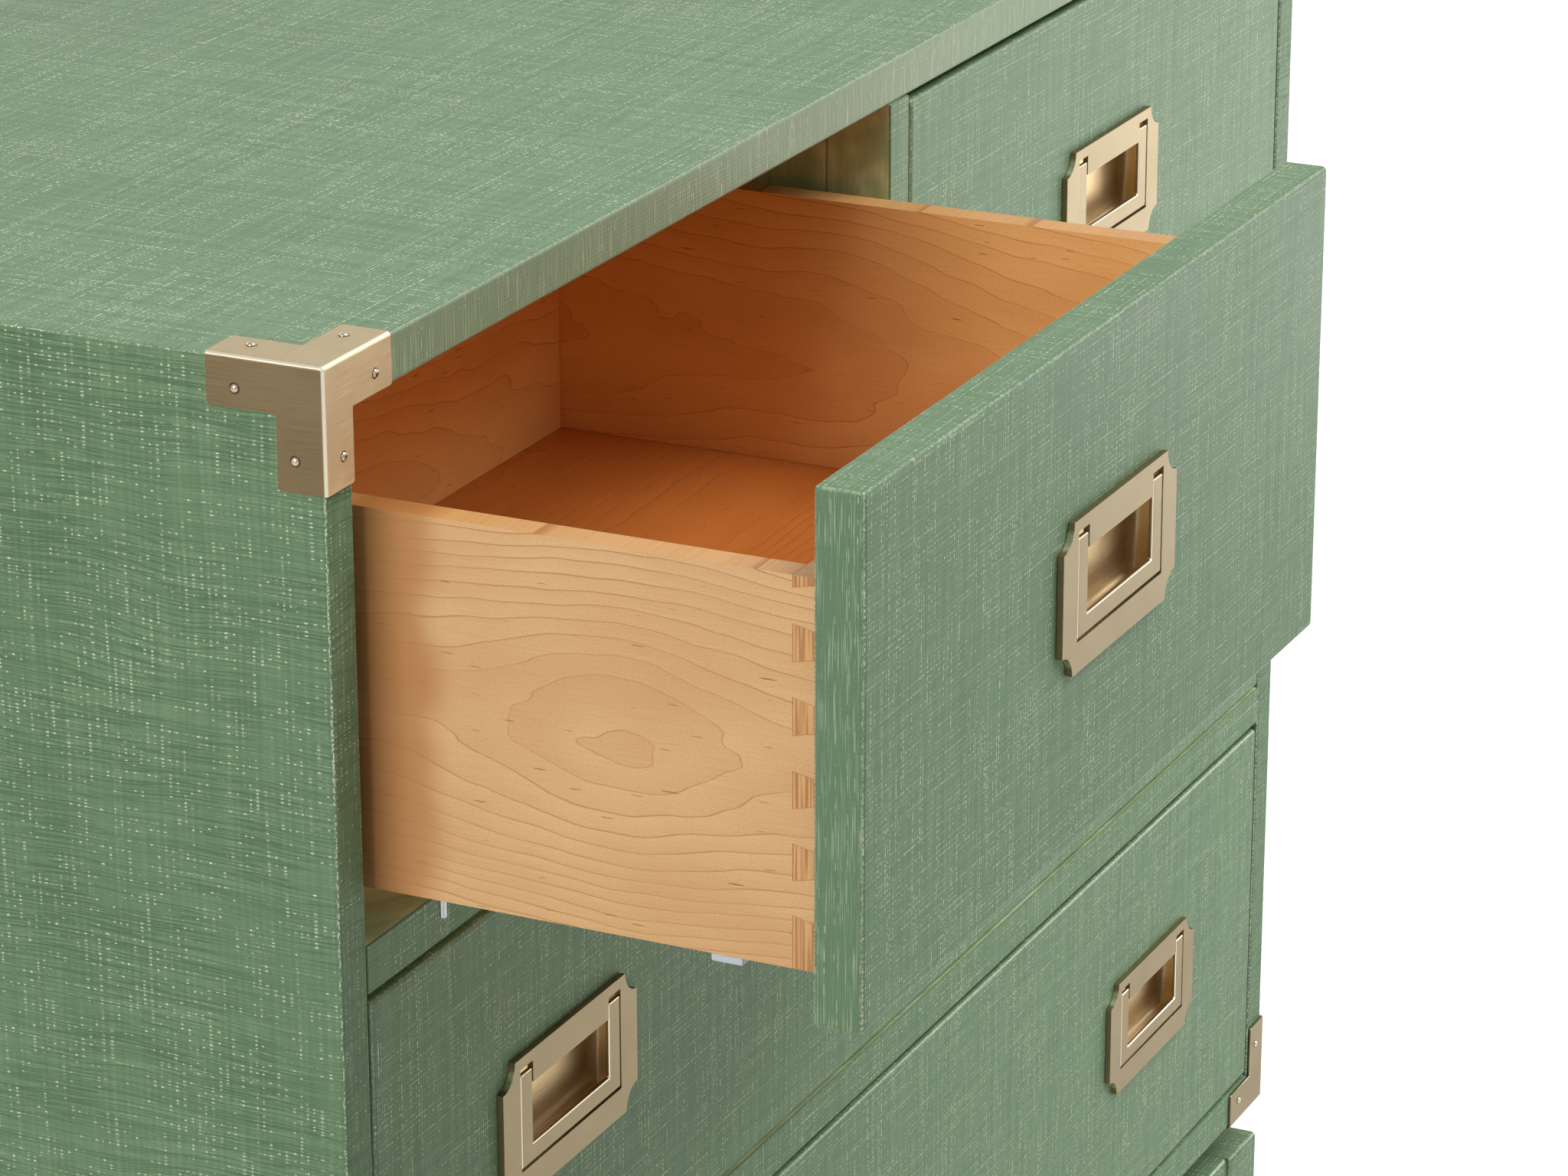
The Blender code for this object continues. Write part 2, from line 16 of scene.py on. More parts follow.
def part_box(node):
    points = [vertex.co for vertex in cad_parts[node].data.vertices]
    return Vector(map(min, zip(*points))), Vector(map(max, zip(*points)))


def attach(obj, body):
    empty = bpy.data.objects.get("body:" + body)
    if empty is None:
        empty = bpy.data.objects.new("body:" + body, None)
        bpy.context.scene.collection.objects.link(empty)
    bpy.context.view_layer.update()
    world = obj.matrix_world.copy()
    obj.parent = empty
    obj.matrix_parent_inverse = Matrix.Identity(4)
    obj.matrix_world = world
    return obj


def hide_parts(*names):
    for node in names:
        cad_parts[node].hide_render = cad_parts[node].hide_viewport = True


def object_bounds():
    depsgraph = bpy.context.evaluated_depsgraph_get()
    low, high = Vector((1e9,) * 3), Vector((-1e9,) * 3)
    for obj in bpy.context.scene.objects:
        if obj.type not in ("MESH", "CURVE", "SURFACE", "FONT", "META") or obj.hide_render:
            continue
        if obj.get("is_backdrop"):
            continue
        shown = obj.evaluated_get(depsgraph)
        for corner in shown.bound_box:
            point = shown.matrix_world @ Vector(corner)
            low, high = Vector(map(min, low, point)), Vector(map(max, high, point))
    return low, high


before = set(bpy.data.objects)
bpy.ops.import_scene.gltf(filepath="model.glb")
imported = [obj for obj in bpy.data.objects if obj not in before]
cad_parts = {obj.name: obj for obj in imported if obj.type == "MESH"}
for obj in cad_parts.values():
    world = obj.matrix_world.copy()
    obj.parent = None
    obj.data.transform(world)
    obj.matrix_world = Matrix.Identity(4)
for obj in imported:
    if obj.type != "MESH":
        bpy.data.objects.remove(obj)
cad_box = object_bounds()

# %% [markdown]
# ## Reading the chest's own sizes
#
# A dressed board has to sit exactly where its solid sits. Typing the numbers again would work until
# someone changes a size, so the main planes are read from the solids instead.

# %% Main planes of the case
top_low, top_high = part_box("top_panel")
HALF_WIDTH = top_high.x
FRONT = top_low.y
BACK = top_high.y
TOP = top_high.z
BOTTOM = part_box("left_side_panel")[0].z
BOARD = top_high.z - top_low.z
MM = 0.001
print("case", [round(v, 4) for v in (2 * HALF_WIDTH, BACK - FRONT, TOP - BOTTOM)], "boards", round(BOARD, 4))

# %% [markdown]
# ## A few bench tools
#
# A furniture maker uses the same few moves again and again: saw a block, ease its edges, cut a recess,
# glue two blocks together. Each move gets a short helper around Blender's own operators. An operator
# acts on all that is selected, so every helper first deselects everything and then takes hold of one
# piece.


# %% Take hold of one piece
def hold(piece):
    if bpy.context.object and bpy.context.object.mode != "OBJECT":
        bpy.ops.object.mode_set(mode="OBJECT")
    bpy.ops.object.select_all(action="DESELECT")
    piece.select_set(True)
    bpy.context.view_layer.objects.active = piece


def fix_place(piece):
    """Moves the piece's place, turn and size into its mesh, so that its object sits at the origin."""
    hold(piece)
    bpy.ops.object.transform_apply(location=True, rotation=True, scale=True)
    return piece


def saw_block(name, low, high):
    """A cube primitive stretched between two opposite corners."""
    bpy.ops.object.select_all(action="DESELECT")
    low, high = Vector(low), Vector(high)
    bpy.ops.mesh.primitive_cube_add(size=1, location=(low + high) / 2)
    made = bpy.context.object
    made.name = name
    made.scale = high - low
    return fix_place(made)


def turn_rod(name, middle, radius, length, sides, turn=(0, 0, 0)):
    """A cylinder primitive about its middle. It stands upright unless it is turned."""
    bpy.ops.object.select_all(action="DESELECT")
    bpy.ops.mesh.primitive_cylinder_add(
        vertices=sides, radius=radius, depth=length, location=middle, rotation=turn
    )
    made = bpy.context.object
    made.name = name
    return fix_place(made)


print("bench tools: hold, fix_place, saw_block, turn_rod")


# %% Choose edges, faces or corners by their place
def choose(piece, kind, test):
    """Selects the vertices, edges or polygons that pass a test, and goes into edit mode."""
    hold(piece)
    mesh = piece.data
    for group in (mesh.vertices, mesh.edges, mesh.polygons):
        group.foreach_set("select", [False] * len(group))
    for item in getattr(mesh, kind):
        if kind == "vertices":
            item.select = test(item.co)
        elif kind == "edges":
            item.select = test(*(mesh.vertices[corner].co for corner in item.vertices))
        else:
            item.select = test(item.center, item.normal)
    modes = (kind == "vertices", kind == "edges", kind == "polygons")
    bpy.context.tool_settings.mesh_select_mode = modes
    bpy.ops.object.mode_set(mode="EDIT")


def choose_all(piece):
    choose(piece, "polygons", lambda centre, normal: True)


def leave_edit():
    bpy.ops.object.mode_set(mode="OBJECT")


def near(value, target, reach=0.0001):
    return abs(value - target) < reach


def ease(piece, width, segments=3, test=None):
    """Rounds the chosen edges, or all of them, as sandpaper does."""
    choose(piece, "edges", test or (lambda start, end: True))
    bpy.ops.mesh.bevel(offset=width, segments=segments, affect="EDGES")
    leave_edit()
    return piece


print("edge tools: choose, choose_all, leave_edit, near, ease")


# %% Cut, glue and smooth
def use_modifier(piece, kind, **settings):
    hold(piece)
    made = piece.modifiers.new(kind.title(), kind)
    for key, value in settings.items():
        setattr(made, key, value)
    bpy.ops.object.modifier_apply(modifier=made.name)
    return piece


def combine(piece, other, operation):
    """Cuts the other piece out of this one, or glues it on, and throws the other piece away."""
    use_modifier(piece, "BOOLEAN", operation=operation, solver="EXACT", object=other)
    bpy.data.objects.remove(other)
    return piece


def soften(piece, width, segments=2, angle=50):
    """Rounds every edge that is sharper than an angle."""
    limit = math.radians(angle)
    return use_modifier(
        piece, "BEVEL", width=width, segments=segments, limit_method="ANGLE", angle_limit=limit
    )


def smooth(piece, angle=42):
    """Smooth shading over the eased edges, while weighted normals keep the broad faces flat."""
    hold(piece)
    bpy.ops.object.shade_smooth_by_angle(angle=math.radians(angle))
    return use_modifier(piece, "WEIGHTED_NORMAL", keep_sharp=True, weight=100)


print("joining tools: combine, soften, smooth")


# %% Copy a finished piece, and put it on its body
def copy_to(piece, name, shift):
    made = piece.copy()
    made.data = piece.data.copy()
    made.name = name
    made.data.transform(Matrix.Translation(shift))
    bpy.context.scene.collection.objects.link(made)
    return made


def dress(piece, finish, body, slot, *nodes):
    """Gives a piece its finish and its body, and hides the solids that it stands for."""
    piece.data.materials.clear()
    piece.data.materials.append(finish)
    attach(piece, body)
    if nodes:
        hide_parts(*nodes)
    return piece


print("last tools: copy_to, dress")

# %% [markdown]
# ## Shader sums in plain Python
#
# The paint, wood and brass are all patterns made of arithmetic. Wiring Math nodes by hand hides the
# formula, so a socket is wrapped in a small class: adding or multiplying two of them adds the Math node.
# Any other node comes from one method that takes its type, its settings and its sockets.


# %% A socket that can be used in sums
class Wire:
    def __init__(self, tree, socket):
        self.tree = tree
        self.socket = socket

    def sum(self, operation, *values):
        made = self.tree.nodes.new("ShaderNodeMath")
        made.operation = operation
        for slot, value in zip(made.inputs, values):
            feed(self.tree, slot, value)
        return Wire(self.tree, made.outputs[0])

    def __add__(self, other):
        return self.sum("ADD", self, other)

    def __sub__(self, other):
        return self.sum("SUBTRACT", self, other)

    def __rsub__(self, other):
        return self.sum("SUBTRACT", other, self)

    def __mul__(self, other):
        return self.sum("MULTIPLY", self, other)

    def __truediv__(self, other):
        return self.sum("DIVIDE", self, other)

    def __pow__(self, other):
        return self.sum("POWER", self, other)

    def __gt__(self, other):
        return self.sum("GREATER_THAN", self, other)

    def __lt__(self, other):
        return self.sum("LESS_THAN", self, other)

    def __abs__(self):
        return self.sum("ABSOLUTE", self)

    __radd__ = __add__
    __rmul__ = __mul__

    def floor(self):
        return self.sum("FLOOR", self)

    def fraction(self):
        return self.sum("FRACT", self)

    def wave(self):
        """A ridge of height 1 over every whole number."""
        return self.sum("COSINE", self * (2 * math.pi)) * 0.5 + 0.5

    def most(self, other):
        return self.sum("MAXIMUM", self, other)


def feed(tree, slot, value):
    if isinstance(value, Wire):
        tree.links.new(value.socket, slot)
    else:
        slot.default_value = value


print("sums ready")


# %% A finish in the making
class Finish:
    def __init__(self, name):
        self.material = bpy.data.materials.new(name)
        self.material.use_nodes = True
        self.tree = self.material.node_tree
        self.shader = self.tree.nodes["Principled BSDF"]

    def node(self, kind, settings=None, sockets=None, out=0):
        made = self.tree.nodes.new(kind)
        for key, value in (settings or {}).items():
            setattr(made, key, value)
        for key, value in (sockets or {}).items():
            feed(self.tree, made.inputs[key], value)
        return Wire(self.tree, made.outputs[out])

    def split(self, vector):
        made = self.node("ShaderNodeSeparateXYZ", sockets={0: vector})
        outputs = made.socket.node.outputs
        return [Wire(self.tree, socket) for socket in outputs]

    def vector(self, x, y, z=0.0):
        return self.node("ShaderNodeCombineXYZ", sockets={0: x, 1: y, 2: z})

    def place_mm(self):
        """Where a point lies on the chest, in millimetres."""
        return [part * 1000 for part in self.split(self.node("ShaderNodeTexCoord", out="Object"))]

    def normal(self):
        """Which way the surface faces, along X, Y and Z."""
        return self.split(self.node("ShaderNodeNewGeometry", out="Normal"))

    def facing(self):
        """How far the surface faces along X, Y and Z, from 0 to 1."""
        return [abs(part) for part in self.normal()]

    def noise(self, vector, detail=2.0, roughness=0.5):
        sockets = {"Vector": vector, "Scale": 1.0, "Detail": detail, "Roughness": roughness}
        return self.node("ShaderNodeTexNoise", sockets=sockets)

    def chance(self, vector):
        """A random number for every whole-numbered cell."""
        return self.node("ShaderNodeTexWhiteNoise", {"noise_dimensions": "3D"}, {"Vector": vector})

    def rise(self, value, low, high, start=0.0, end=1.0):
        """A soft step from start to end, as value goes from low to high."""
        sockets = {"Value": value, "From Min": low, "From Max": high, "To Min": start, "To Max": end}
        return self.node("ShaderNodeMapRange", {"interpolation_type": "SMOOTHSTEP"}, sockets)

    def mix(self, amount, first, second):
        sockets = {0: amount, 6: first, 7: second}
        return self.node("ShaderNodeMix", {"data_type": "RGBA"}, sockets, out=2)

    def bump(self, height, depth_mm):
        sockets = {"Height": height, "Strength": 1.0, "Distance": depth_mm * MM}
        return self.node("ShaderNodeBump", sockets=sockets)

    def set(self, **values):
        for key, value in values.items():
            label = key.replace("_", " ").title().replace("Ior", "IOR")
            feed(self.tree, self.shader.inputs[label], value)
        return self.material


print("finishes take their sockets from the Principled shader")


# %% Colours
def tint(red, green, blue):
    """A colour as a picture editor gives it, from 0 to 255, as linear light."""
    parts = []
    for part in (red, green, blue):
        share = part / 255
        parts.append(share / 12.92 if share <= 0.04045 else ((share + 0.055) / 1.055) ** 2.4)
    return (*parts, 1.0)


print("middle grey is", tint(128, 128, 128))

# %% [markdown]
# ## The linen paint
#
# The chest is painted over a coarse linen-like ground, and the paint is rubbed back: along the raised
# threads a pale yellow-green shows through in dots and short dashes. One could draw this with an image,
# but a formula stays sharp at any distance. Two sets of threads are laid over each face. Every thread
# has its own number, and with it its own chance of being rubbed and its own run of dashes. The eased
# edges, which are known by their slanted normals, are rubbed a little too.

# %% Paint colours, and one set of threads
GREEN_DEEP = tint(84, 110, 78)
GREEN_BODY = tint(110, 138, 105)
GREEN_PALE = tint(129, 156, 122)
RUBBED = tint(232, 238, 204)


class Threads:
    """Threads side by side: a point's height on its thread, and the thread's number, tone, wear and dashes.

    layout is the distance between threads and the length of their dashes in mm, and how strong they show.
    """

    def __init__(self, finish, position, along, layout, stretch_mm, seed):
        thread_mm, dash_mm, strength = layout
        uneven = finish.noise(finish.vector(position / (thread_mm * 3), seed), detail=0.0)
        course = position / thread_mm + uneven
        self.number = (course + 0.5).floor()
        self.height = course.wave()
        self.tone = finish.chance(finish.vector(self.number, seed, 2.0)) * self.height * strength
        stretch = finish.noise(finish.vector(self.number * 9.7, along / stretch_mm, seed), detail=1.0)
        run = finish.noise(finish.vector(self.number * 7.3, along / dash_mm, seed + 5.0), detail=1.0)
        self.worn = finish.rise(stretch, 0.46, 0.68)
        self.dashes = self.height**4 * finish.rise(run, 0.5, 0.6) * self.worn * strength


print("paint colours:", GREEN_DEEP, GREEN_BODY, GREEN_PALE, RUBBED)


# %% How the paint lies on a board
FLAT_ON = 0.72
PATCH_MM = 46
SWAY_MM = 80
SWAY_BY_MM = 3.0


class LinenPaint(Finish):
    """A finish that knows the lie of its threads: columns run down a face, and rows across it.

    narrow_axis is the axis that the narrow faces look along, and fade how far the weave fades on them.
    """

    def __init__(self, name, columns, rows, stretch_mm, narrow_axis, fade):
        super().__init__(name)
        x, y, z = self.place_mm()
        facing = self.facing()
        across, out, up = facing
        self.narrow = facing[narrow_axis] > FLAT_ON
        self.faded = self.narrow * fade
        self.y = y
        self.u = x + (y * (1 + self.faded * 0.6) - x) * (across > FLAT_ON)
        self.v = z + (y - z) * (up > FLAT_ON)
        self.edge = self.rise(1 - across.most(out).most(up), 0.05, 0.24)
        patch_place = self.vector(self.u / PATCH_MM, self.v / PATCH_MM, x / 90 + 5.0)
        self.patch = self.noise(patch_place, detail=2.0) - 0.5
        sway_place = self.vector(self.u / SWAY_MM, self.v / SWAY_MM, 3.0)
        self.sway = self.noise(sway_place, detail=1.0) * SWAY_BY_MM
        down = self.v / (1 + self.faded * 4)
        self.columns = Threads(self, self.u + self.sway, down, columns, stretch_mm, 2.0)
        self.rows = Threads(self, self.v + self.sway, self.u, rows, stretch_mm, 8.0)


print("a face looks along an axis above", FLAT_ON)


# %% Where the paint is rubbed
SPECKLE_MM = 1.2
SCRATCH_WIDTH_MM = 0.6
SCRATCH_LENGTH_MM = 24


def rubbed_threads(paint, dots):
    """Dots where threads cross, and dashes along them. dots is the share of worn crossings that show."""
    columns, rows = paint.columns, paint.rows
    crossing = paint.chance(paint.vector(columns.number, rows.number, 4.0))
    shine = paint.chance(paint.vector(columns.number, rows.number, 7.0)) * 0.6 + 0.4
    rubbed = (crossing < (columns.worn + rows.worn + paint.patch) * dots) * shine * (1 - paint.faded)
    dot = paint.rise(columns.height * rows.height, 0.55, 0.85) * rubbed
    down = columns.dashes * (1 - paint.faded * 0.4)
    sideways = rows.dashes * (1 - paint.faded)
    return dot.most(down).most(sideways)


def rubbed_edges(paint, edge_rub):
    """Specks along the eased edges."""
    places = [place / SPECKLE_MM for place in (paint.u, paint.v, paint.y)]
    speckle = paint.noise(paint.vector(*places), detail=1.0)
    return paint.edge * paint.rise(speckle + paint.patch * 0.4, 0.46, 0.62) * edge_rub


def scratches(paint, painted_sheen, scratch):
    """Fine scratches over a thin, pale painted sheen, on the narrow faces alone."""
    place = paint.vector(paint.u / SCRATCH_WIDTH_MM, paint.v / SCRATCH_LENGTH_MM, 8.0)
    fine = paint.noise(place, detail=2.0)
    # The lowest value is a painted sheen that lightens the whole narrow face.
    return paint.rise(fine, 0.54, 0.7, painted_sheen, scratch) * paint.narrow


print("rubbing tools: rubbed_threads, rubbed_edges, scratches")


# %% Brush marks and shades of green
BRUSH_WIDTH_MM = 2.0
BRUSH_LENGTH_MM = 90
STREAK_WIDTH_MM = 3.5
STREAK_LENGTH_MM = 110


def brush_marks(paint, groove):
    """Grooves that the brush left across a face, from 0 to groove deep."""
    v = (paint.v + paint.sway * 4) / BRUSH_WIDTH_MM
    brush = paint.noise(paint.vector(paint.u / BRUSH_LENGTH_MM, v, 4.0), detail=2.0)
    strength = paint.rise(paint.patch, -0.2, 0.1, 0.4, 1.0) * groove
    return paint.rise(abs(brush - 0.5), 0.0, 0.045, 1.0, 0.0) * strength


def greens(paint, cloud, mark):
    """Paler in clouds, streaks and some threads, and darker between threads and in brush marks, as painted
    shade in those hollows.
    """
    level = paint.noise(paint.vector(paint.u / STREAK_LENGTH_MM, paint.v / STREAK_WIDTH_MM, 7.0))
    upright = paint.noise(paint.vector(paint.u / STREAK_WIDTH_MM, paint.v / STREAK_LENGTH_MM, 9.0))
    streak = upright + level * (1 - paint.faded)
    lines = paint.columns.tone + paint.rows.tone * (1 - paint.faded)
    tone = cloud * 0.4 + streak * 0.6 + lines * 0.3
    green = paint.mix(paint.rise(tone, 0.68, 1.2), GREEN_BODY, GREEN_PALE)
    # Painted shade: darker green in the hollows between threads and in the brush grooves.
    between = paint.rise(paint.columns.height + paint.rows.height, 0.0, 1.4, 0.16, 0.0)
    green = paint.mix(between, green, GREEN_DEEP)
    return paint.mix(mark * 0.65, green, GREEN_DEEP)


print("shading tools: brush_marks, greens")


# %% The paint on one kind of board
CLOUD_MM = 150
WEAVE_DEPTH_MM = 0.14


def painted(name, columns, rows, stretch_mm, dots, ends, groove=0.0, edge_rub=0.4, sheen=0.055):
    """columns and rows are laid out as in Threads, and worn in stretches. dots is how many crossings show.

    ends gives the axis that the narrow faces look along, how far their weave fades, how much pale sheen is
    painted on them, and how scratched they are. groove is how deep the brush marks are, edge_rub how far the
    eased edges are rubbed, and sheen how much light the paint mirrors.
    """
    narrow_axis, fade, painted_sheen, scratch = ends
    paint = LinenPaint(name, columns, rows, stretch_mm, narrow_axis, fade)
    pale = rubbed_threads(paint, dots).most(rubbed_edges(paint, edge_rub))
    pale = pale.most(scratches(paint, painted_sheen, scratch))
    mark = brush_marks(paint, groove)
    cloud = paint.noise(paint.vector(paint.u / CLOUD_MM, paint.v / CLOUD_MM, 6.0), detail=2.0)
    weave = (paint.columns.height + paint.rows.height) * 0.15
    return paint.set(
        base_color=paint.mix(pale, greens(paint, cloud, mark), RUBBED),
        roughness=0.42 + pale * 0.15 + (cloud - 0.5) * 0.15,
        specular_ior_level=sheen,
        coat_weight=paint.edge,
        coat_roughness=0.25,
        normal=paint.bump(weave - mark + pale * 0.6, WEAVE_DEPTH_MM),
    )


print("weave", WEAVE_DEPTH_MM, "mm deep")

# %% The four paints
FRONT_PAINT = painted(
    "linen_front_paint",
    columns=(1.7, 1.3, 1.0),
    rows=(2.2, 1.3, 0.4),
    stretch_mm=48.0,
    dots=0.3,
    ends=(0, 1.0, 0.0, 0.42),
    sheen=0.07,
)
SIDE_PAINT = painted(
    "brushed_side_paint",
    columns=(3.2, 1.2, 0.15),
    rows=(1.5, 1.3, 0.3),
    stretch_mm=24.0,
    dots=0.4,
    ends=(1, 0.3, 0.0, 0.2),
    groove=1.0,
    edge_rub=0.9,
)
TOP_PAINT = painted(
    "linen_top_paint",
    columns=(2.0, 1.5, 1.0),
    rows=(1.8, 1.5, 1.0),
    stretch_mm=80.0,
    dots=0.1,
    # The third number of ends paints a pale sheen over the top's narrow faces.
    ends=(1, 0.5, 0.18, 0.5),
    sheen=0.1,
)
PAINT = painted(
    "linen_rail_paint",
    columns=(1.7, 1.3, 1.0),
    rows=(2.2, 1.5, 0.6),
    stretch_mm=48.0,
    dots=0.3,
    ends=(0, 0.5, 0.0, 0.2),
)
print("paint finishes:", FRONT_PAINT.name, SIDE_PAINT.name, TOP_PAINT.name, PAINT.name)

# %% [markdown]
# Inside the case the boards were never given the linen ground: the partition between the two top drawers
# and the dust boards between the rows are bare and patchy, with a thin wash of green. A fine upright
# seam shows where the partition's front strip is glued on.

# %% A washed bare board
BARE_PALE = tint(236, 242, 196)
BARE_DARK = tint(194, 206, 150)
WASH = tint(158, 190, 136)
SEAM_BEHIND_MM = 31.0


def washed(name):
    finish = Finish(name)
    x, y, z = finish.place_mm()
    u = x * 0.6 + y
    patch = finish.noise(finish.vector(u / 16, z / 24, 2.0), detail=3.0)
    streak = finish.noise(finish.vector(u / 2.5, z / 30, 6.0), detail=2.0)
    wash = finish.noise(finish.vector(u / 38, z / 30, 9.0), detail=2.0)
    bare = finish.mix(finish.rise(patch * 0.7 + streak * 0.3, 0.36, 0.62), BARE_DARK, BARE_PALE)
    bare = finish.mix(finish.rise(wash, 0.45, 0.62) * 0.6, bare, WASH)
    seam = finish.rise(abs(y - (FRONT / MM + SEAM_BEHIND_MM)), 0.2, 0.7, 1.0, 0.0)
    colour = finish.mix(seam * 0.7, bare, GREEN_DEEP)
    return finish.set(base_color=colour, roughness=0.55 + patch * 0.1, normal=finish.bump(streak, 0.05))


WASHED = washed("washed_bare_board")
print("bare finish:", WASHED.name)

# %% [markdown]
# ## The maple
#
# A drawer side is a plain-sawn maple board. Such a board is a slice that passes the pith of the tree at
# some depth, so its rings open into wide ovals where the slice is nearest to the pith and crowd together
# towards the edges. Drawing rings at even steps of distance from the pith, and letting the depth of the
# slice change along the board, gives those ovals by themselves. Each kind of board has its own slice, so
# no two look copied. The faces inside the boxes are tinted: the walls lighter, as painted bounce light,
# and the floor deeper and redder, as painted shade.

# %% Maple colours and the ring formula
MAPLE_PALE = tint(231, 187, 132)
MAPLE_BODY = tint(219, 171, 114)
MAPLE_RING = tint(184, 120, 64)
RING_MM = 3.7
FLATTEST_CUT = 0.12


def rings(finish, along, across, heart, depth, swell, slope):
    """How far a point is through its ring, the dark line that ends the ring, and how the rings wander."""
    wander = finish.noise(finish.vector(along / 80, across / 34, heart[0]), detail=2.0) - 0.5
    jitter = finish.noise(finish.vector(along / 14, across / 6, heart[1]), detail=1.0) - 0.5
    spread = along * along + swell[1] ** 2
    pith = depth + along * along / spread * swell[0] + along * slope
    reach = (pith * pith + across * across) ** 0.5
    rate = along * (2 * swell[0] * swell[1] ** 2) / (spread * spread) + slope
    climb = ((across * across + rate * rate * pith * pith) ** 0.5 / reach).most(FLATTEST_CUT)
    ring = ((reach + wander * 7 + jitter * 0.5) / RING_MM).fraction()
    line = finish.rise((1 - ring) * RING_MM / climb, 0.12, 0.7, 1.0, 0.0)
    return ring, line, wander


print("rings", RING_MM, "mm apart")


# %% End grain and oil
END_PALE = tint(224, 172, 112)
END_DARK = tint(184, 126, 72)
# Tints for the faces inside the boxes: lighter walls as painted bounce light, a darker, redder floor as
# painted shade.
BOUNCE_LIT_WALL = (1.3, 1.25, 0.98, 1.0)
SHADED_FLOOR = (0.9, 0.46, 0.19, 1.0)
OILED_EDGE = (0.98, 0.84, 0.66, 1.0)


def end_grain(finish, stripe_place, z):
    stripes = finish.noise(finish.vector(stripe_place / 1.3, z / 60, 4.0), detail=1.0)
    return finish.mix(finish.rise(stripes, 0.4, 0.6), END_PALE, END_DARK)


def edge_oil_and_inside_light(finish, bare, inner):
    """Tints the edges that look up with oil, and the face that looks into the box with painted light:
    lighter walls as painted bounce light, a darker floor as painted shade.
    """
    axis, way, inside_tint = inner
    normal = finish.normal()
    multiply = {"data_type": "RGBA", "blend_type": "MULTIPLY"}
    colour = bare
    for looks, tone in ((normal[2], OILED_EDGE), (normal[axis] * way, inside_tint)):
        tinted = finish.node("ShaderNodeMix", multiply, {0: 1.0, 6: bare, 7: tone}, out=2)
        colour = finish.mix(looks > 0.5, colour, tinted)
    return colour


print("maple tools: rings, end_grain, oiled")


# %% A maple board
FLECK = tint(132, 78, 42)
PLANK_SHIFT_MM = 170
END_ON = 0.8


def maple(name, grain, heart, depth, swell, inner, slope=0.0, planks_mm=0.0, case_shadow=0.0):
    """grain is the axis along the board, and heart the place, along and across it, where the ovals centre.

    depth is how far the slice passes from the pith there. It grows by swell, or steadily by slope, along
    the board. inner is the axis and the direction in which the inside face looks, and its tint: the walls
    are lightened as painted bounce light, and the floor is darkened as painted shade.
    planks_mm is the width of the planks that a glued-up board is made of. The last argument gives where a
    darker band is painted across the board, as the shadow that the case's front edge casts on it. Lengths
    are in mm.
    """
    finish = Finish(name)
    x, y, z = finish.place_mm()
    facing = finish.facing()
    along, across, end, stripe_place = (y, z, facing[1], z) if grain == "Y" else (x, z, facing[0], y)
    tone = 0.5
    if planks_mm:
        plank = (y / planks_mm).floor()
        tone = finish.chance(finish.vector(plank, 1.0, 3.0))
        along = along + plank * PLANK_SHIFT_MM
        across = y - plank * planks_mm
    along = along - heart[0]
    across = across - heart[1]
    ring, line, wander = rings(finish, along, across, heart, depth, swell, slope)
    fibre = finish.noise(finish.vector(along / 26, across / 0.6, 1.0), detail=2.0)
    pore = finish.noise(finish.vector(along / 0.8, across / 0.5, 3.0), detail=1.0)
    spot = finish.noise(finish.vector(along / 13, across / 0.9, heart[0] + 9), detail=0.0)
    cloud = finish.noise(finish.vector(along / 90, across / 50, 5.0), detail=2.0)
    shade = finish.rise(cloud * 0.55 + fibre * 0.3 + tone * 0.15, 0.36, 0.64)
    colour = finish.mix(shade, MAPLE_BODY, MAPLE_PALE)
    faint = finish.rise(cloud + wander * 0.5, 0.35, 0.65, 0.3, 0.66)
    colour = finish.mix(ring * 0.16 + line * faint, colour, MAPLE_RING)
    colour = finish.mix(finish.rise(pore, 0.45, 0.72) * 0.28, colour, MAPLE_RING)
    colour = finish.mix(finish.rise(spot, 0.81, 0.85) * 0.8, colour, FLECK)
    # Painted shadow: a darker band where the case's front edge shades the drawer side.
    if case_shadow:
        shadow_reach = abs(y - case_shadow) + (cloud - 0.5) * 26 + (pore - 0.5) * 10
        colour = finish.mix(finish.rise(shadow_reach, 10.0, 27.0, 0.75, 0.0), colour, MAPLE_RING)
    colour = finish.mix(end > END_ON, colour, end_grain(finish, stripe_place, z))
    return finish.set(
        base_color=edge_oil_and_inside_light(finish, colour, inner),
        roughness=0.44 + (fibre - 0.5) * 0.16,
        normal=finish.bump(fibre + pore * 0.6, 0.03),
    )


print("planks are cut", PLANK_SHIFT_MM, "mm apart")

# %% The five boards of a drawer box
LEFT_FACE = (0, -1, BOUNCE_LIT_WALL)
RIGHT_FACE = (0, 1, BOUNCE_LIT_WALL)
FRONT_FACE = (1, -1, BOUNCE_LIT_WALL)
BACK_FACE = (1, 1, BOUNCE_LIT_WALL)
UPPER_FACE = (2, 1, SHADED_FLOOR)
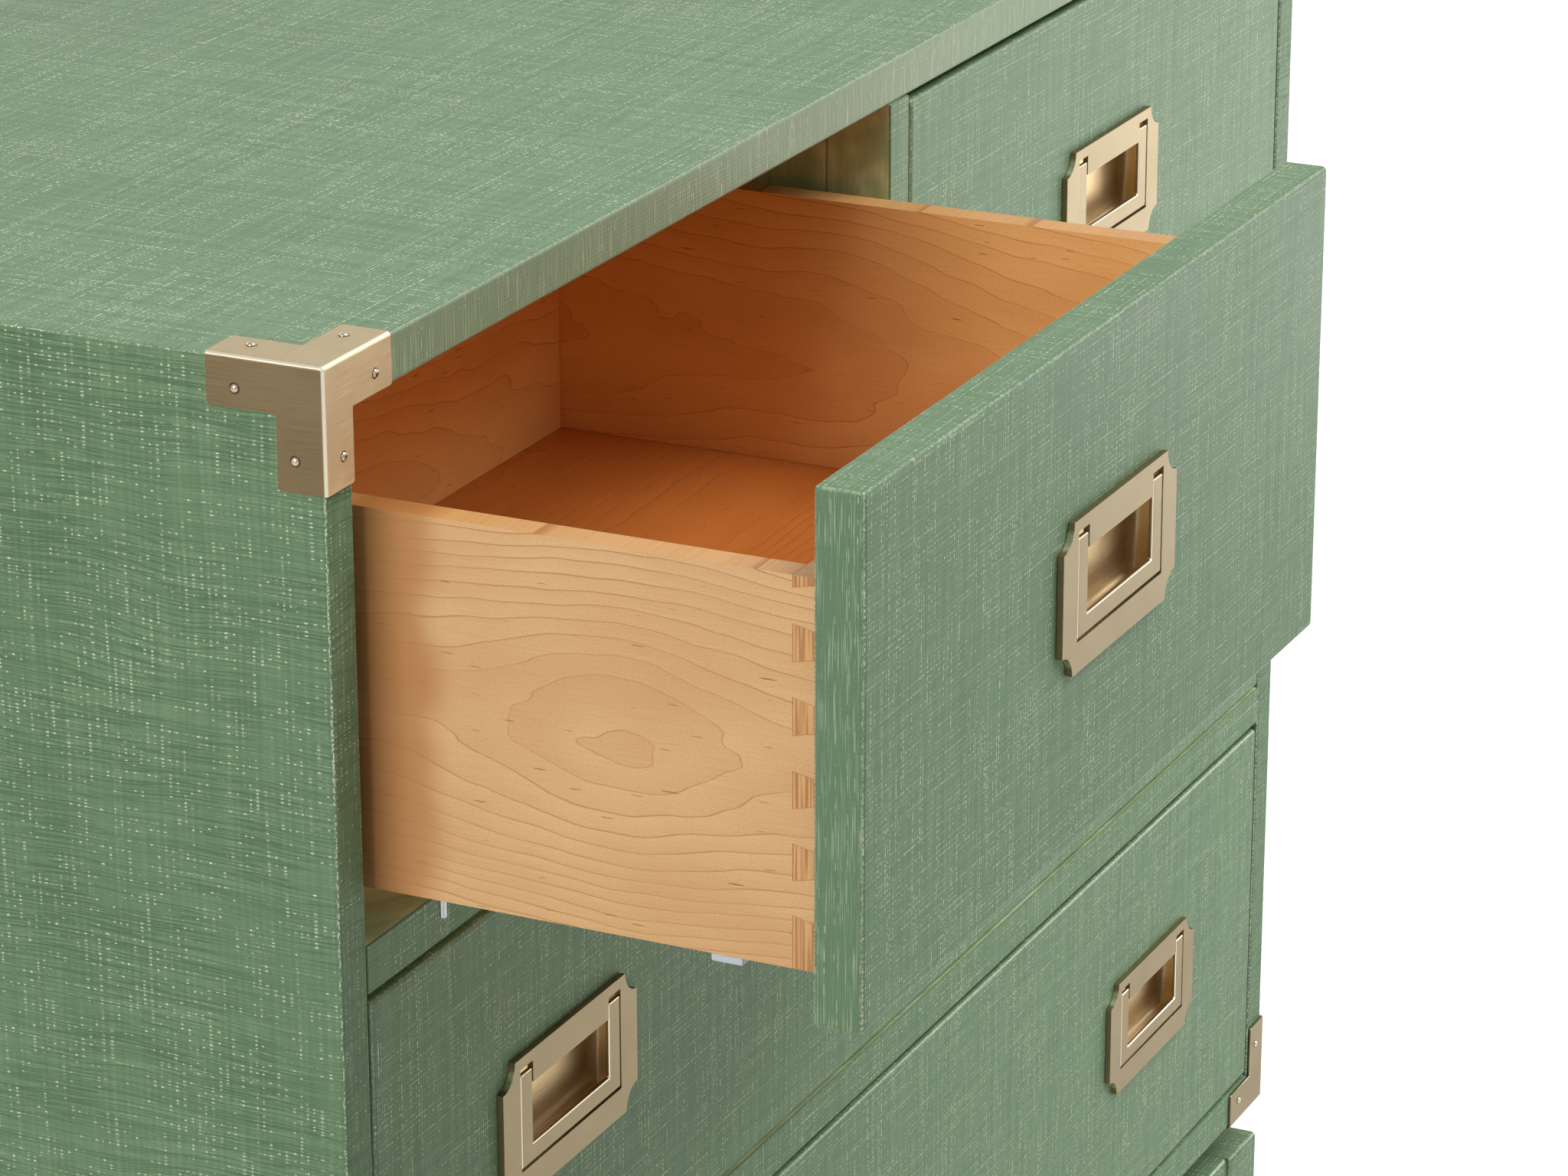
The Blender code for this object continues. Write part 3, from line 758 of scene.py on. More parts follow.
# The painted shadow of the case's front edge is centred this far in front of the case.
CASE_SHADOW_AHEAD_MM = 8
CASE_SHADOW_MM = FRONT / MM - CASE_SHADOW_AHEAD_MM
MAPLE = {
    "left_side": maple(
        "maple_left_side", "Y", (-229.0, 730.0), 58.9, (10.0, 57.0), RIGHT_FACE, case_shadow=CASE_SHADOW_MM
    ),
    "right_side": maple(
        "maple_right_side", "Y", (-120.0, 728.0), 120.0, (4.0, 60.0), LEFT_FACE, slope=-0.06
    ),
    "sub_front": maple("maple_sub_front", "X", (120.0, 380.0), 40.0, (10.0, 200.0), BACK_FACE),
    "back": maple("maple_back", "X", (-340.0, 690.0), 90.0, (10.0, 200.0), FRONT_FACE, slope=0.03),
    "bottom": maple(
        "maple_bottom", "X", (60.0, 30.0), 90.0, (14.0, 200.0), UPPER_FACE, slope=0.02, planks_mm=118.0
    ),
}
print("maple finishes:", ", ".join(MAPLE))

# %% [markdown]
# ## Brushed brass, zinc and nylon
#
# The hardware is champagne brass, brushed in straight lines. Fine lines that run along the brushing vary
# its roughness, so that highlights stretch across them. The upper brackets carry a painted highlight on
# the front and painted shade on their flanks, and the rounded arrises are lighter, partly as wear and
# partly as a painted highlight. The pulls and the lower brackets are a darker copy of the brass, as
# painted shade, and the cups a brighter, golden copy, as painted light in their hollows. The slides are
# zinc-plated steel, and their catches are milky nylon.


# %% Brushed metal
def brushed(name, colour, shade, rough, line_mm=0.22, flank_shade=None, face=None, polish_and_highlight=None):
    """colour and shade alternate in brush lines. The flank colour is painted shade on what looks sideways,
    and the face colour a painted highlight on what looks forwards.

    The last argument is the colour of the rounded arrises, which hands keep bright: partly wear, and partly
    a painted highlight.
    """
    finish = Finish(name)
    x, y, z = finish.place_mm()
    across, out, up = finish.facing()
    on_side = across > FLAT_ON
    u = x + (y - x) * on_side
    v = z + (y - z) * (up > FLAT_ON)
    lines = finish.noise(finish.vector(u / 18, v / line_mm, 2.0), detail=2.0)
    cloud = finish.noise(finish.vector(u / 30, v / 30, 5.0), detail=2.0)
    brush = finish.rise(lines * 0.7 + cloud * 0.3, 0.3, 0.7)
    metal = finish.mix(brush, shade, colour)
    if flank_shade:
        # Painted shade on faces that look sideways, and a painted highlight on faces that look forwards.
        metal = finish.mix(on_side * (0.8 + brush * 0.2), metal, flank_shade)
        metal = finish.mix((out > FLAT_ON) * (0.6 + brush * 0.4), metal, face)
    # Lighter arrises: partly the wear of hands, partly a painted highlight.
    if polish_and_highlight:
        arris = finish.rise(1 - across.most(out).most(up), 0.03, 0.16)
        metal = finish.mix(arris * 0.85, metal, polish_and_highlight)
        rough = rough - arris * 0.2
    return finish.set(
        base_color=metal,
        metallic=1.0,
        roughness=rough + (lines - 0.5) * 0.25,
        normal=finish.bump(lines, 0.008),
    )


# Colours for painted shade on the brackets' flanks and a painted highlight on their fronts.
FLANK_SHADE = tint(114, 97, 69)
FACE = tint(248, 236, 198)
# Colour of the arrises: partly wear, partly a painted highlight.
POLISH_AND_HIGHLIGHT = tint(252, 244, 220)
BRASS = brushed(
    "brushed_brass", tint(204, 187, 152), tint(184, 166, 131), 0.54, flank_shade=FLANK_SHADE, face=FACE, polish_and_highlight=POLISH_AND_HIGHLIGHT
)
# A darker copy of the brass for the pulls and the lower brackets, as painted shade.
SHADED_BRASS = brushed("shaded_brass", tint(152, 136, 102), tint(134, 118, 86), 0.46, polish_and_highlight=POLISH_AND_HIGHLIGHT)
# A brighter, golden copy of the brass for the cups, as painted light in their hollows.
LIT_CUP_BRASS = brushed("lightened_cup_brass", tint(240, 214, 168), tint(214, 184, 134), 0.5)
NAIL_BRASS = brushed("polished_nail_brass", tint(208, 198, 176), tint(186, 174, 148), 0.16, line_mm=1.5)
# Dark brass for the rings of painted shadow around the nail heads.
NAIL_SHADOW_BRASS = brushed("painted_nail_shadow", tint(92, 66, 40), tint(70, 48, 28), 0.4, line_mm=1.5)
STEEL = brushed("zinc_steel", tint(196, 198, 198), tint(170, 172, 172), 0.36)
BRASSES = (BRASS, SHADED_BRASS, LIT_CUP_BRASS, NAIL_BRASS, NAIL_SHADOW_BRASS)
print("brass finishes:", ", ".join(metal.name for metal in BRASSES))


# %% Nylon
def nylon(name, colour, shade):
    finish = Finish(name)
    x, y, z = finish.place_mm()
    grain = finish.noise(finish.vector(x / 0.8, y / 0.8, z / 0.8), detail=2.0)
    colour = finish.mix(grain, colour, shade)
    return finish.set(base_color=colour, roughness=0.42 + grain * 0.1, normal=finish.bump(grain, 0.02))


NYLON = nylon("milky_nylon", tint(206, 212, 214), tint(190, 198, 202))
print("slide finishes:", STEEL.name, NYLON.name)

# %% [markdown]
# ## The case
#
# The top and the two sides are mitred, so on the real chest their outer corners are rounded as one. If
# each board were eased by itself, the mitre would open into a groove. So the three boards are first made
# as one hollowed block, eased, and then sawn apart on the mitres with Bisect, as a box maker saws a lid
# off a box.

# %% One eased shell
CASE_EASE = 0.0018
SAW_MARGIN = 0.01
MITRE_GAP = 0.00008
INNER_HALF = HALF_WIDTH - BOARD
shell = saw_block("case_shell", (-HALF_WIDTH, FRONT, BOTTOM), (HALF_WIDTH, BACK, TOP))
hollow_low = (-INNER_HALF, FRONT - SAW_MARGIN, BOTTOM - SAW_MARGIN)
hollow = saw_block("hollow", hollow_low, (INNER_HALF, BACK + SAW_MARGIN, TOP - BOARD))
combine(shell, hollow, "DIFFERENCE")


def not_inner_corner(start, end):
    middle = (start + end) / 2
    at_corner = near(abs(middle.x), INNER_HALF) and near(middle.z, TOP - BOARD)
    return not (at_corner and near(start.x, end.x))


ease(shell, CASE_EASE, 3, not_inner_corner)
print("shell of", len(shell.data.polygons), "faces")


# %% Saw the shell apart on its mitres
def saw_mitre(piece, side, keep_top):
    """Cuts the piece on the left (-1) or right (1) mitre and keeps the part above or below it."""
    shift = MITRE_GAP if keep_top else -MITRE_GAP
    choose_all(piece)
    bpy.ops.mesh.bisect(
        plane_co=(side * (HALF_WIDTH - shift), 0, TOP),
        plane_no=(-side, 0, 1),
        use_fill=True,
        clear_inner=keep_top,
        clear_outer=not keep_top,
    )
    leave_edit()


top = copy_to(shell, "top_board", Vector((0, 0, 0)))
saw_mitre(top, -1, True)
saw_mitre(top, 1, True)
dress(smooth(top), TOP_PAINT, "case", "paint", "top_panel")
for side, name in ((-1, "left"), (1, "right")):
    board = copy_to(shell, f"{name}_side_board", Vector((0, 0, 0)))
    saw_mitre(board, side, False)
    choose(board, "vertices", lambda co: co.x * side < 0)
    bpy.ops.mesh.delete(type="VERT")
    leave_edit()
    dress(smooth(board), SIDE_PAINT, "case", "paint", f"{name}_side_panel")
bpy.data.objects.remove(shell)
print("top and two sides")

# %% [markdown]
# The other boards of the case stand between the sides, and little of them shows from the front. So a cube
# is sawn to the size of each solid, and its edges are lightly eased.

# %% Boards between the sides
RAIL_EASE = 0.0009
PAINT_SLOT = 1
SPACER_SETBACK = 0.030
HAIRLINE = 0.0002
for node in ("upper_web_frame", "lower_web_frame", "centre_divider"):
    low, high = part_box(node)
    board = ease(saw_block(f"{node}_board", low, high), RAIL_EASE, 2)
    dress(smooth(board), WASHED, "case", "paint", node)
    board.data.materials.append(PAINT)
    for face in board.data.polygons:
        if face.center.y < low.y + 2 * RAIL_EASE:
            face.material_index = PAINT_SLOT
low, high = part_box("back_panel")
back_board = ease(saw_block("back_panel_board", low, high), RAIL_EASE, 2)
dress(smooth(back_board), PAINT, "case", "paint", "back_panel")
low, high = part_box("case_bottom")
floor_low = (low.x, low.y, BOTTOM)
bottom_board = ease(saw_block("case_bottom_board", floor_low, high), RAIL_EASE, 2)
dress(smooth(bottom_board), PAINT, "case", "paint", "case_bottom")
spacer_low = (-HALF_WIDTH + SPACER_SETBACK, FRONT + SPACER_SETBACK, low.z)
spacer_high = (HALF_WIDTH - SPACER_SETBACK, BACK - SPACER_SETBACK, BOTTOM - HAIRLINE)
spacer = ease(saw_block("reveal_spacer", spacer_low, spacer_high), RAIL_EASE, 2)
dress(smooth(spacer), PAINT, "case", "paint")
print("rails, divider, back, bottom and spacer")

# %% [markdown]
# ## The base
#
# The chest stands on a low base of four square posts with aprons between them, a little behind the faces
# of the posts. Each end is one solid in the frame, but on the real base it is two posts and an apron, so
# it is dressed as three boards. Each post ends in a nylon glide.

# %% Posts, aprons and glides
POST = 0.041
POST_EASE = 0.0026
APRON_HEIGHT = 0.070
APRON_THICK = 0.036
APRON_SETBACK = 0.0025
GLIDE_HEIGHT = 0.003
GLIDE_RADIUS = 0.012
GLIDE_EASE = 0.0008
base_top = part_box("base_left_frame")[1].z


def base_post(name, side, end):
    low_x, high_x = sorted((side * HALF_WIDTH, side * (HALF_WIDTH - POST)))
    low_y = FRONT if end == "front" else BACK - POST
    post = saw_block(name, (low_x, low_y, GLIDE_HEIGHT), (high_x, low_y + POST, base_top))
    inner_x = side * (HALF_WIDTH - POST)
    inner_y = FRONT + POST if end == "front" else BACK - POST

    def not_joined(start, point):
        middle = (start + point) / 2
        return not (near(middle.z, base_top) and (near(middle.x, inner_x) or near(middle.y, inner_y)))

    dress(smooth(ease(post, POST_EASE, 3, not_joined)), PAINT, "case", "paint")
    middle = ((low_x + high_x) / 2, low_y + POST / 2, GLIDE_HEIGHT / 2)
    glide = turn_rod(f"{name}_glide", middle, GLIDE_RADIUS, GLIDE_HEIGHT, sides=32)
    dress(smooth(soften(glide, GLIDE_EASE)), NYLON, "case", None)


for side, across in ((-1, "left"), (1, "right")):
    node = f"base_{across}_frame"
    for end in ("front", "back"):
        base_post(f"base_{across}_{end}_post", side, end)
    face = side * (HALF_WIDTH - APRON_SETBACK)
    low_x, high_x = sorted((face, face - side * APRON_THICK))
    apron_low = (low_x, FRONT + POST + HAIRLINE, base_top - APRON_HEIGHT)
    apron = saw_block(f"base_{across}_apron", apron_low, (high_x, BACK - POST - HAIRLINE, base_top))
    ease(apron, POST_EASE, 3, lambda start, point: near(start.x, point.x) and near(start.z, point.z))
    dress(smooth(apron), SIDE_PAINT, "case", "paint", node)
for node in ("base_front_apron", "base_back_apron"):
    low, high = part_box(node)
    apron = saw_block(f"{node}_board", low, high)
    ease(apron, POST_EASE, 3, lambda start, point: near(start.y, point.y) and near(start.z, point.z))
    dress(smooth(apron), PAINT, "case", "paint", node)
print("base of four posts and four aprons, top at", round(base_top, 4))

# %% [markdown]
# ## The drawer fronts
#
# Each front is a thick board with well eased edges and a mortise for every pull. The mortise only shows
# as a dark line behind the bail, but it has to be there, because the cup of the pull sinks into it.

# %% Fronts with their mortises
FRONT_EASE = 0.0022
CUP_DEPTH = 0.0125
SLOT_WIDTH = 0.0886
SLOT_HEIGHT = 0.0455
SLOT_BELOW_TOP = 0.0049
MORTISE_MARGIN = 0.0017
MORTISE_BEHIND = 0.0006
PULLS = {
    "top_left_drawer": ("top_left",),
    "top_right_drawer": ("top_right",),
    "middle_drawer": ("middle_left", "middle_right"),
    "bottom_drawer": ("bottom_left", "bottom_right"),
}


def slot_of(pull):
    """The middle, the bottom and the top of a pull's slot, and the plane of its plate's face."""
    low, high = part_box(f"{pull}_pull_plate")
    top_edge = high.z - SLOT_BELOW_TOP
    return (low.x + high.x) / 2, top_edge - SLOT_HEIGHT, top_edge, low.y


for drawer, pulls in PULLS.items():
    low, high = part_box(f"{drawer}_front")
    front = ease(saw_block(f"{drawer}_front_board", low, high), FRONT_EASE, 4)
    for pull in pulls:
        middle, slot_low, slot_top, face = slot_of(pull)
        reach = SLOT_WIDTH / 2 + MORTISE_MARGIN
        cut_low = (middle - reach, low.y - SAW_MARGIN, slot_low - MORTISE_MARGIN)
        cut_high = (middle + reach, low.y + CUP_DEPTH + MORTISE_BEHIND, slot_top + MORTISE_MARGIN)
        combine(front, saw_block("mortise", cut_low, cut_high), "DIFFERENCE")
    dress(smooth(front), FRONT_PAINT, drawer, "paint", f"{drawer}_front")
print("drawer fronts:", ", ".join(PULLS))

# %% [markdown]
# ## The drawer boxes
#
# The maple boxes are dovetailed, and their solids already have every pin and tail. Sawing them again
# would only repeat that work, so each board starts from a copy of its solid. The copy comes as loose
# triangles: its corners are merged, its flat faces dissolved into whole ones, and every arris gets a
# tiny chamfer, which draws the fine lines between pins and tails.

# %% Dovetailed boards with broken arrises
ARRIS = 0.00016
GLUE_GROWTH = 0.00012
MERGE = 0.00001
FLAT_TURN = math.radians(1)
BOX_PARTS = ("sub_front", "left_side", "right_side", "back", "bottom")


def make_whole(piece):
    """Merges doubled corners and dissolves the lines across flat faces, and stays in edit mode."""
    choose_all(piece)
    bpy.ops.mesh.remove_doubles(threshold=MERGE)
    bpy.ops.mesh.dissolve_limited(angle_limit=FLAT_TURN)


def copied_board(node, name):
    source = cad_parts[node]
    board = bpy.data.objects.new(name, source.data.copy())
    bpy.context.scene.collection.objects.link(board)
    make_whole(board)
    bpy.ops.transform.shrink_fatten(value=GLUE_GROWTH, use_even_offset=True)
    leave_edit()
    return board


for drawer in PULLS:
    for part in BOX_PARTS:
        node = f"{drawer}_{part}"
        board = soften(copied_board(node, f"{node}_board"), ARRIS, 1)
        dress(smooth(board, 60), MAPLE[part], drawer, "maple", node)
print("boards in each box:", len(BOX_PARTS))

# %% [markdown]
# ## The flush pulls
#
# A pull has three pieces: a plate with hollowed corners, a pressed cup behind it, and a flat U-shaped
# bail that hangs in the plate's slot. The plate is a block with four round corners bitten out by
# cylinders, and the slot is cut around a tongue that hangs between the bail's arms. One pull is modelled
# and then copied.

# %% The plate
PLATE_WIDTH = 0.118
PLATE_HEIGHT = 0.063
PLATE_THICK = 0.0027
PLATE_EASE = 0.00055
NOTCH = 0.0103
TONGUE_DROP = 0.0095
ARM_WIDTH = 0.0098
BAIL_GAP = 0.0006
FIRST_PULL = "top_left"
middle, slot_low, slot_top, face = slot_of(FIRST_PULL)
plate_top = slot_top + SLOT_BELOW_TOP
plate_low = plate_top - PLATE_HEIGHT
left, right = middle - PLATE_WIDTH / 2, middle + PLATE_WIDTH / 2
plate = saw_block("pull_plate", (left, face, plate_low), (right, face + PLATE_THICK, plate_top))
for corner_x in (left, right):
    for corner_z in (plate_low, plate_top):
        place = (corner_x, face, corner_z)
        bite = turn_rod("bite", place, NOTCH, SAW_MARGIN * 2, sides=72, turn=(math.pi / 2, 0, 0))
        combine(plate, bite, "DIFFERENCE")
half_slot = SLOT_WIDTH / 2
half_tongue = half_slot - ARM_WIDTH - 2 * BAIL_GAP
cuts = [
    ((-half_slot, slot_low), (half_slot, slot_top - TONGUE_DROP)),
    ((-half_slot, slot_top - TONGUE_DROP - SAW_MARGIN), (-half_tongue, slot_top)),
    ((half_tongue, slot_top - TONGUE_DROP - SAW_MARGIN), (half_slot, slot_top)),
]
for (x0, z0), (x1, z1) in cuts:
    cut_low = (middle + x0, face - SAW_MARGIN, z0)
    cut_high = (middle + x1, face + SAW_MARGIN, z1)
    combine(plate, saw_block("slot", cut_low, cut_high), "DIFFERENCE")
smooth(soften(plate, PLATE_EASE, 3))
print("plate of", len(plate.data.polygons), "faces")

# %% [markdown]
# The cup is drawn from sheet: a block loses its front face, the edges of its floor are rounded
# generously, and Solidify gives the sheet its thickness.

# %% The cup
CUP_WALL = 0.0012
CUP_ROUND = 0.005
plate_back = face + PLATE_THICK
cup_floor = plate_back + CUP_DEPTH
cup_low = (middle - half_slot, plate_back, slot_low)
cup = saw_block("pull_cup", cup_low, (middle + half_slot, cup_floor - CUP_WALL, slot_top))
choose(cup, "polygons", lambda centre, normal: normal.y < -0.5)
bpy.ops.mesh.delete(type="FACE")
leave_edit()


def around_floor(start, end):
    return near(start.y, cup_floor - CUP_WALL) and near(end.y, cup_floor - CUP_WALL)


ease(cup, CUP_ROUND, 5, around_floor)
use_modifier(cup, "SOLIDIFY", thickness=CUP_WALL, offset=1.0)
smooth(cup, 60)
print("cup of", len(cup.data.polygons), "faces")

# %% [markdown]
# The bail is a flat bar bent square. Its edges are rounded more than the plate's, because fingers wear
# them, and two short pins stick out of its arms into the plate.

# %% The bail and its pins
BAR_HEIGHT = 0.0080
BAIL_FOOT_GAP = 0.0011
BAIL_THICK = 0.0023
BAIL_SINK = 0.0001
BAIL_EASE = 0.0008
ARM_RELIEF = 0.003
PIVOT_DROP = 0.0035
PIN_RADIUS = 0.0006
PIN_LENGTH = 0.0022
bail_face = face + BAIL_SINK
half_bail = half_slot - BAIL_GAP
bail_low = slot_low + BAIL_FOOT_GAP
bail_top = slot_top - ARM_RELIEF
outer_low = (middle - half_bail, bail_face, bail_low)
bail = saw_block("pull_bail", outer_low, (middle + half_bail, bail_face + BAIL_THICK, bail_top))
opening_low = (middle - half_bail + ARM_WIDTH, bail_face - SAW_MARGIN, bail_low + BAR_HEIGHT)
opening_high = (middle + half_bail - ARM_WIDTH, bail_face + SAW_MARGIN, bail_top + SAW_MARGIN)
combine(bail, saw_block("finger_opening", opening_low, opening_high), "DIFFERENCE")
soften(bail, BAIL_EASE, 3)
for side in (-1, 1):
    pin_middle = middle + side * (half_bail + PIN_LENGTH / 2 - PIN_RADIUS)
    place = (pin_middle, bail_face + BAIL_THICK / 2, bail_top - PIVOT_DROP)
    pin = turn_rod("pin", place, PIN_RADIUS, PIN_LENGTH, sides=20, turn=(0, math.pi / 2, 0))
    combine(bail, pin, "UNION")
smooth(bail)
print("bail of", len(bail.data.polygons), "faces")

# %% Copy the pull to every drawer
for drawer, pulls in PULLS.items():
    for pull in pulls:
        there = slot_of(pull)
        shift = Vector((there[0] - middle, there[3] - face, there[1] - slot_low))
        made = copy_to(plate, f"{pull}_plate", shift)
        dress(made, SHADED_BRASS, drawer, "brass", f"{pull}_pull_plate")
        dress(copy_to(cup, f"{pull}_cup", shift), LIT_CUP_BRASS, drawer, "brass")
        made = copy_to(bail, f"{pull}_bail", shift)
        dress(made, SHADED_BRASS, f"{pull}_bail", "brass", f"{pull}_pull_bail")
for pattern in (plate, cup, bail):
    bpy.data.objects.remove(pattern)
print("pulls copied to", sum(len(pulls) for pulls in PULLS.values()), "places")

# %% [markdown]
# ## The corner brackets
#
# Each front corner wears a brass bracket that wraps three faces. It is folded from sheet: three bars are
# glued at the corner, the folds are rounded, the case's corner is cut out of the inside, and the free
# corners of the legs are rounded. Six domed nails hold it.

# %% One bracket
LEG = 0.0480
LEG_WIDTH = 0.0190
SHEET = 0.0012
FIT = 0.0003
FOLD = 0.0019
LEG_CORNER = 0.0012
SHEET_EASE = 0.00022


def bracket_span(corner, inward, near_by, far_by):
    """The lowest and highest corners of a block, from how far it reaches inwards along each axis."""
    ends = [[corner[i] + inward[i] * reach[i] for i in range(3)] for reach in (near_by, far_by)]
    return [min(pair) for pair in zip(*ends)], [max(pair) for pair in zip(*ends)]


def bracket(name, corner, inward):
    outside = (-FIT - SHEET,) * 3
    made = None
    for along in range(3):
        reach = [LEG_WIDTH] * 3
        reach[along] = LEG
        bar = saw_block(name, *bracket_span(corner, inward, outside, reach))
        made = combine(made, bar, "UNION") if made else bar
    make_whole(made)
    leave_edit()

    def depth(point):
        return [(point[i] - corner[i]) * inward[i] for i in range(3)]

    def on_fold(start, end):
        on_both = [near(a, outside[0]) and near(b, outside[0]) for a, b in zip(depth(start), depth(end))]
        return sum(on_both) == 2

    def on_leg_corner(start, end):
        level = sorted((a + b) / 2 for a, b in zip(depth(start), depth(end)))
        through = near((start - end).length, SHEET, SHEET / 4)
        return through and near(level[1], LEG_WIDTH) and near(level[2], LEG)

    ease(made, FOLD, 4, on_fold)
    inside = saw_block("inside", *bracket_span(corner, inward, (-FIT,) * 3, (LEG + SAW_MARGIN,) * 3))
    combine(made, inside, "DIFFERENCE")
    ease(made, LEG_CORNER, 5, on_leg_corner)
    return smooth(soften(made, SHEET_EASE, 2))


print("bracket tools ready")

# %% [markdown]
# The nails are polished, and each sits in a dark ring of painted shadow around its head. A head is a
# ball, flattened across its face and cut off below the brass. The ring is made the same way, thinner and
# wider.

# %% Nails and their rings of painted shadow
NAIL_RADIUS = 0.0018
NAIL_DOME = 0.0012
NAIL_FROM_CORNER = 0.0358
NAIL_INSET = 0.0113
SUNK_SHARE = 0.4
SHADOW_RING_RADIUS = 0.0022
SHADOW_RING_THICK = 0.0002


def nail_places(corner, inward):
    """Two nails on each of the three faces: the axis that the face looks along, and the nail's place."""
    for face_axis in range(3):
        for along in range(3):
            if along != face_axis:
                reach = [NAIL_INSET] * 3
                reach[along] = NAIL_FROM_CORNER
                reach[face_axis] = -FIT - SHEET
                yield face_axis, [corner[i] + inward[i] * reach[i] for i in range(3)]


def dome(face_axis, place, outward, radius, height):
    """A ball pressed flat against its face, with its hidden half cut off just below the brass."""
    bpy.ops.object.select_all(action="DESELECT")
    bpy.ops.mesh.primitive_uv_sphere_add(segments=24, ring_count=12, radius=1, location=place)
    ball = bpy.context.object
    ball.scale = [height if i == face_axis else radius for i in range(3)]
    fix_place(ball)
    upright = Vector([outward if i == face_axis else 0 for i in range(3)])
    bpy.ops.object.mode_set(mode="EDIT")
    bpy.ops.mesh.select_all(action="SELECT")
    seat = Vector(place) - upright * height * SUNK_SHARE
    bpy.ops.mesh.bisect(plane_co=seat, plane_no=upright, clear_inner=True, use_fill=True)
    leave_edit()
    return ball


def join_domes(name, corner, inward, radius, height):
    """The six domes of one bracket, joined as one piece."""
    domes = [dome(axis, place, -inward[axis], radius, height) for axis, place in nail_places(corner, inward)]
    hold(domes[0])
    for piece in domes:
        piece.select_set(True)
    bpy.ops.object.join()
    domes[0].name = name
    return smooth(domes[0], 80)


print("nail tools: nail_places, dome, join_domes")

# %% Four brackets with their nails
for level, upward, height in ((TOP, 1, "top"), (BOTTOM, -1, "bottom")):
    for side, across in ((-1, "left"), (1, "right")):
        corner = Vector((side * HALF_WIDTH, FRONT, level))
        inward = Vector((-side, 1, -upward))
        node = f"bracket_{height}_{across}"
        made = bracket(f"{node}_sheet", corner, inward)
        dress(made, BRASS if height == "top" else SHADED_BRASS, "case", "brass", node)
        heads = join_domes(f"{node}_nails", corner, inward, NAIL_RADIUS, NAIL_DOME)
        dress(heads, NAIL_BRASS, "case", "brass")
        # A dark ring of painted shadow around each nail.
        shadow_rings = join_domes(f"{node}_seats", corner, inward, SHADOW_RING_RADIUS, SHADOW_RING_THICK)
        dress(shadow_rings, NAIL_SHADOW_BRASS, "case", "brass")
print("four brackets with six nails each")

# %% [markdown]
# ## The slides
#
# Under every drawer side runs a steel slide. The part that is screwed to the case is a flange, a foot
# and a low channel, and the part under the drawer is a cap that covers the channel. A nylon catch and a
# steel stop pin hang below the box, and they show under the open drawer.

# %% Where a slide lies
class SlidePlace:
    """One slide's node, the case's wall beside it, the drawer box above it and the drawer's front face."""

    def __init__(self, drawer, across, inward):
        self.node = f"{drawer}_{across}_slide"
        self.low, self.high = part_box(self.node)
        self.inward = inward
        self.wall = self.low.x - FIT if inward > 0 else self.high.x + FIT
        self.far = self.high.x - self.low.x + FIT
        self.along = (self.low.y, self.high.y)
        self.box_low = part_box(f"{drawer}_{across}_side")[0].z
        self.front_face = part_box(f"{drawer}_front")[0].y

    def block(self, name, reach, along, height):
        """A block between two reaches from the wall, two places along Y and two heights."""
        x0, x1 = sorted(self.wall + self.inward * part for part in reach)
        return saw_block(name, (x0, along[0], height[0]), (x1, along[1], height[1]))


print("slides keep", FIT, "m from the case")


# %% Fixed and moving members
STEEL_SHEET = 0.0016
STEEL_EASE = 0.0005
FLANGE_HEIGHT = 0.026
FOOT_DROP = 0.0120
BOX_GAP = 0.009
SIDE_THICK = 0.012
CHANNEL_GAP = 0.0005
CHANNEL_START = BOX_GAP + SIDE_THICK + CHANNEL_GAP
CHANNEL_HEIGHT = 0.013
CAP_BEHIND_FRONT = 0.034
CAP_SHORT = 0.012
CAP_EASE = 0.0012


def fixed_member(place):
    foot = place.box_low - FOOT_DROP
    flange = (foot, place.low.z + FLANGE_HEIGHT)
    made = place.block(f"{place.node}_fixed", (FIT, FIT + STEEL_SHEET), place.along, flange)
    sole = place.block("sole", (FIT, place.far), place.along, (foot, foot + STEEL_SHEET))
    combine(made, sole, "UNION")
    upright = (foot, place.box_low + CHANNEL_HEIGHT)
    combine(made, place.block("channel", (CHANNEL_START, place.far), place.along, upright), "UNION")
    dress(smooth(soften(made, STEEL_EASE)), STEEL, "case", "steel", place.node)


def moving_member(place, drawer):
    box_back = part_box(f"{drawer}_back")[1].y
    along = (place.front_face + CAP_BEHIND_FRONT, box_back - CAP_SHORT)
    height = (place.box_low + CHANNEL_HEIGHT + FIT, place.high.z)
    cap = place.block(f"{place.node}_moving", (CHANNEL_START, place.far), along, height)
    dress(smooth(soften(cap, CAP_EASE, 3)), STEEL, drawer, "steel")


print("slide members of", STEEL_SHEET, "m sheet")

# %% Catches and stop pins
CATCH_REACH = (0.0105, 0.0200)
CATCH_ALONG = (0.052, 0.065)
CATCH_HEIGHT = (-0.0040, -0.0002)
CATCH_EASE = 0.0008
STOP_REACH = 0.0145
STOP_ALONG = 0.179
STOP_DROP = 0.0095
STOP_GAP = 0.0004
STOP_RADIUS = 0.0014
STOP_EASE = 0.0004


def catch(place, drawer):
    along = [place.front_face + part for part in CATCH_ALONG]
    height = [place.box_low + part for part in CATCH_HEIGHT]
    made = place.block(f"{place.node}_catch", CATCH_REACH, along, height)
    dress(smooth(soften(made, CATCH_EASE)), NYLON, drawer, None)


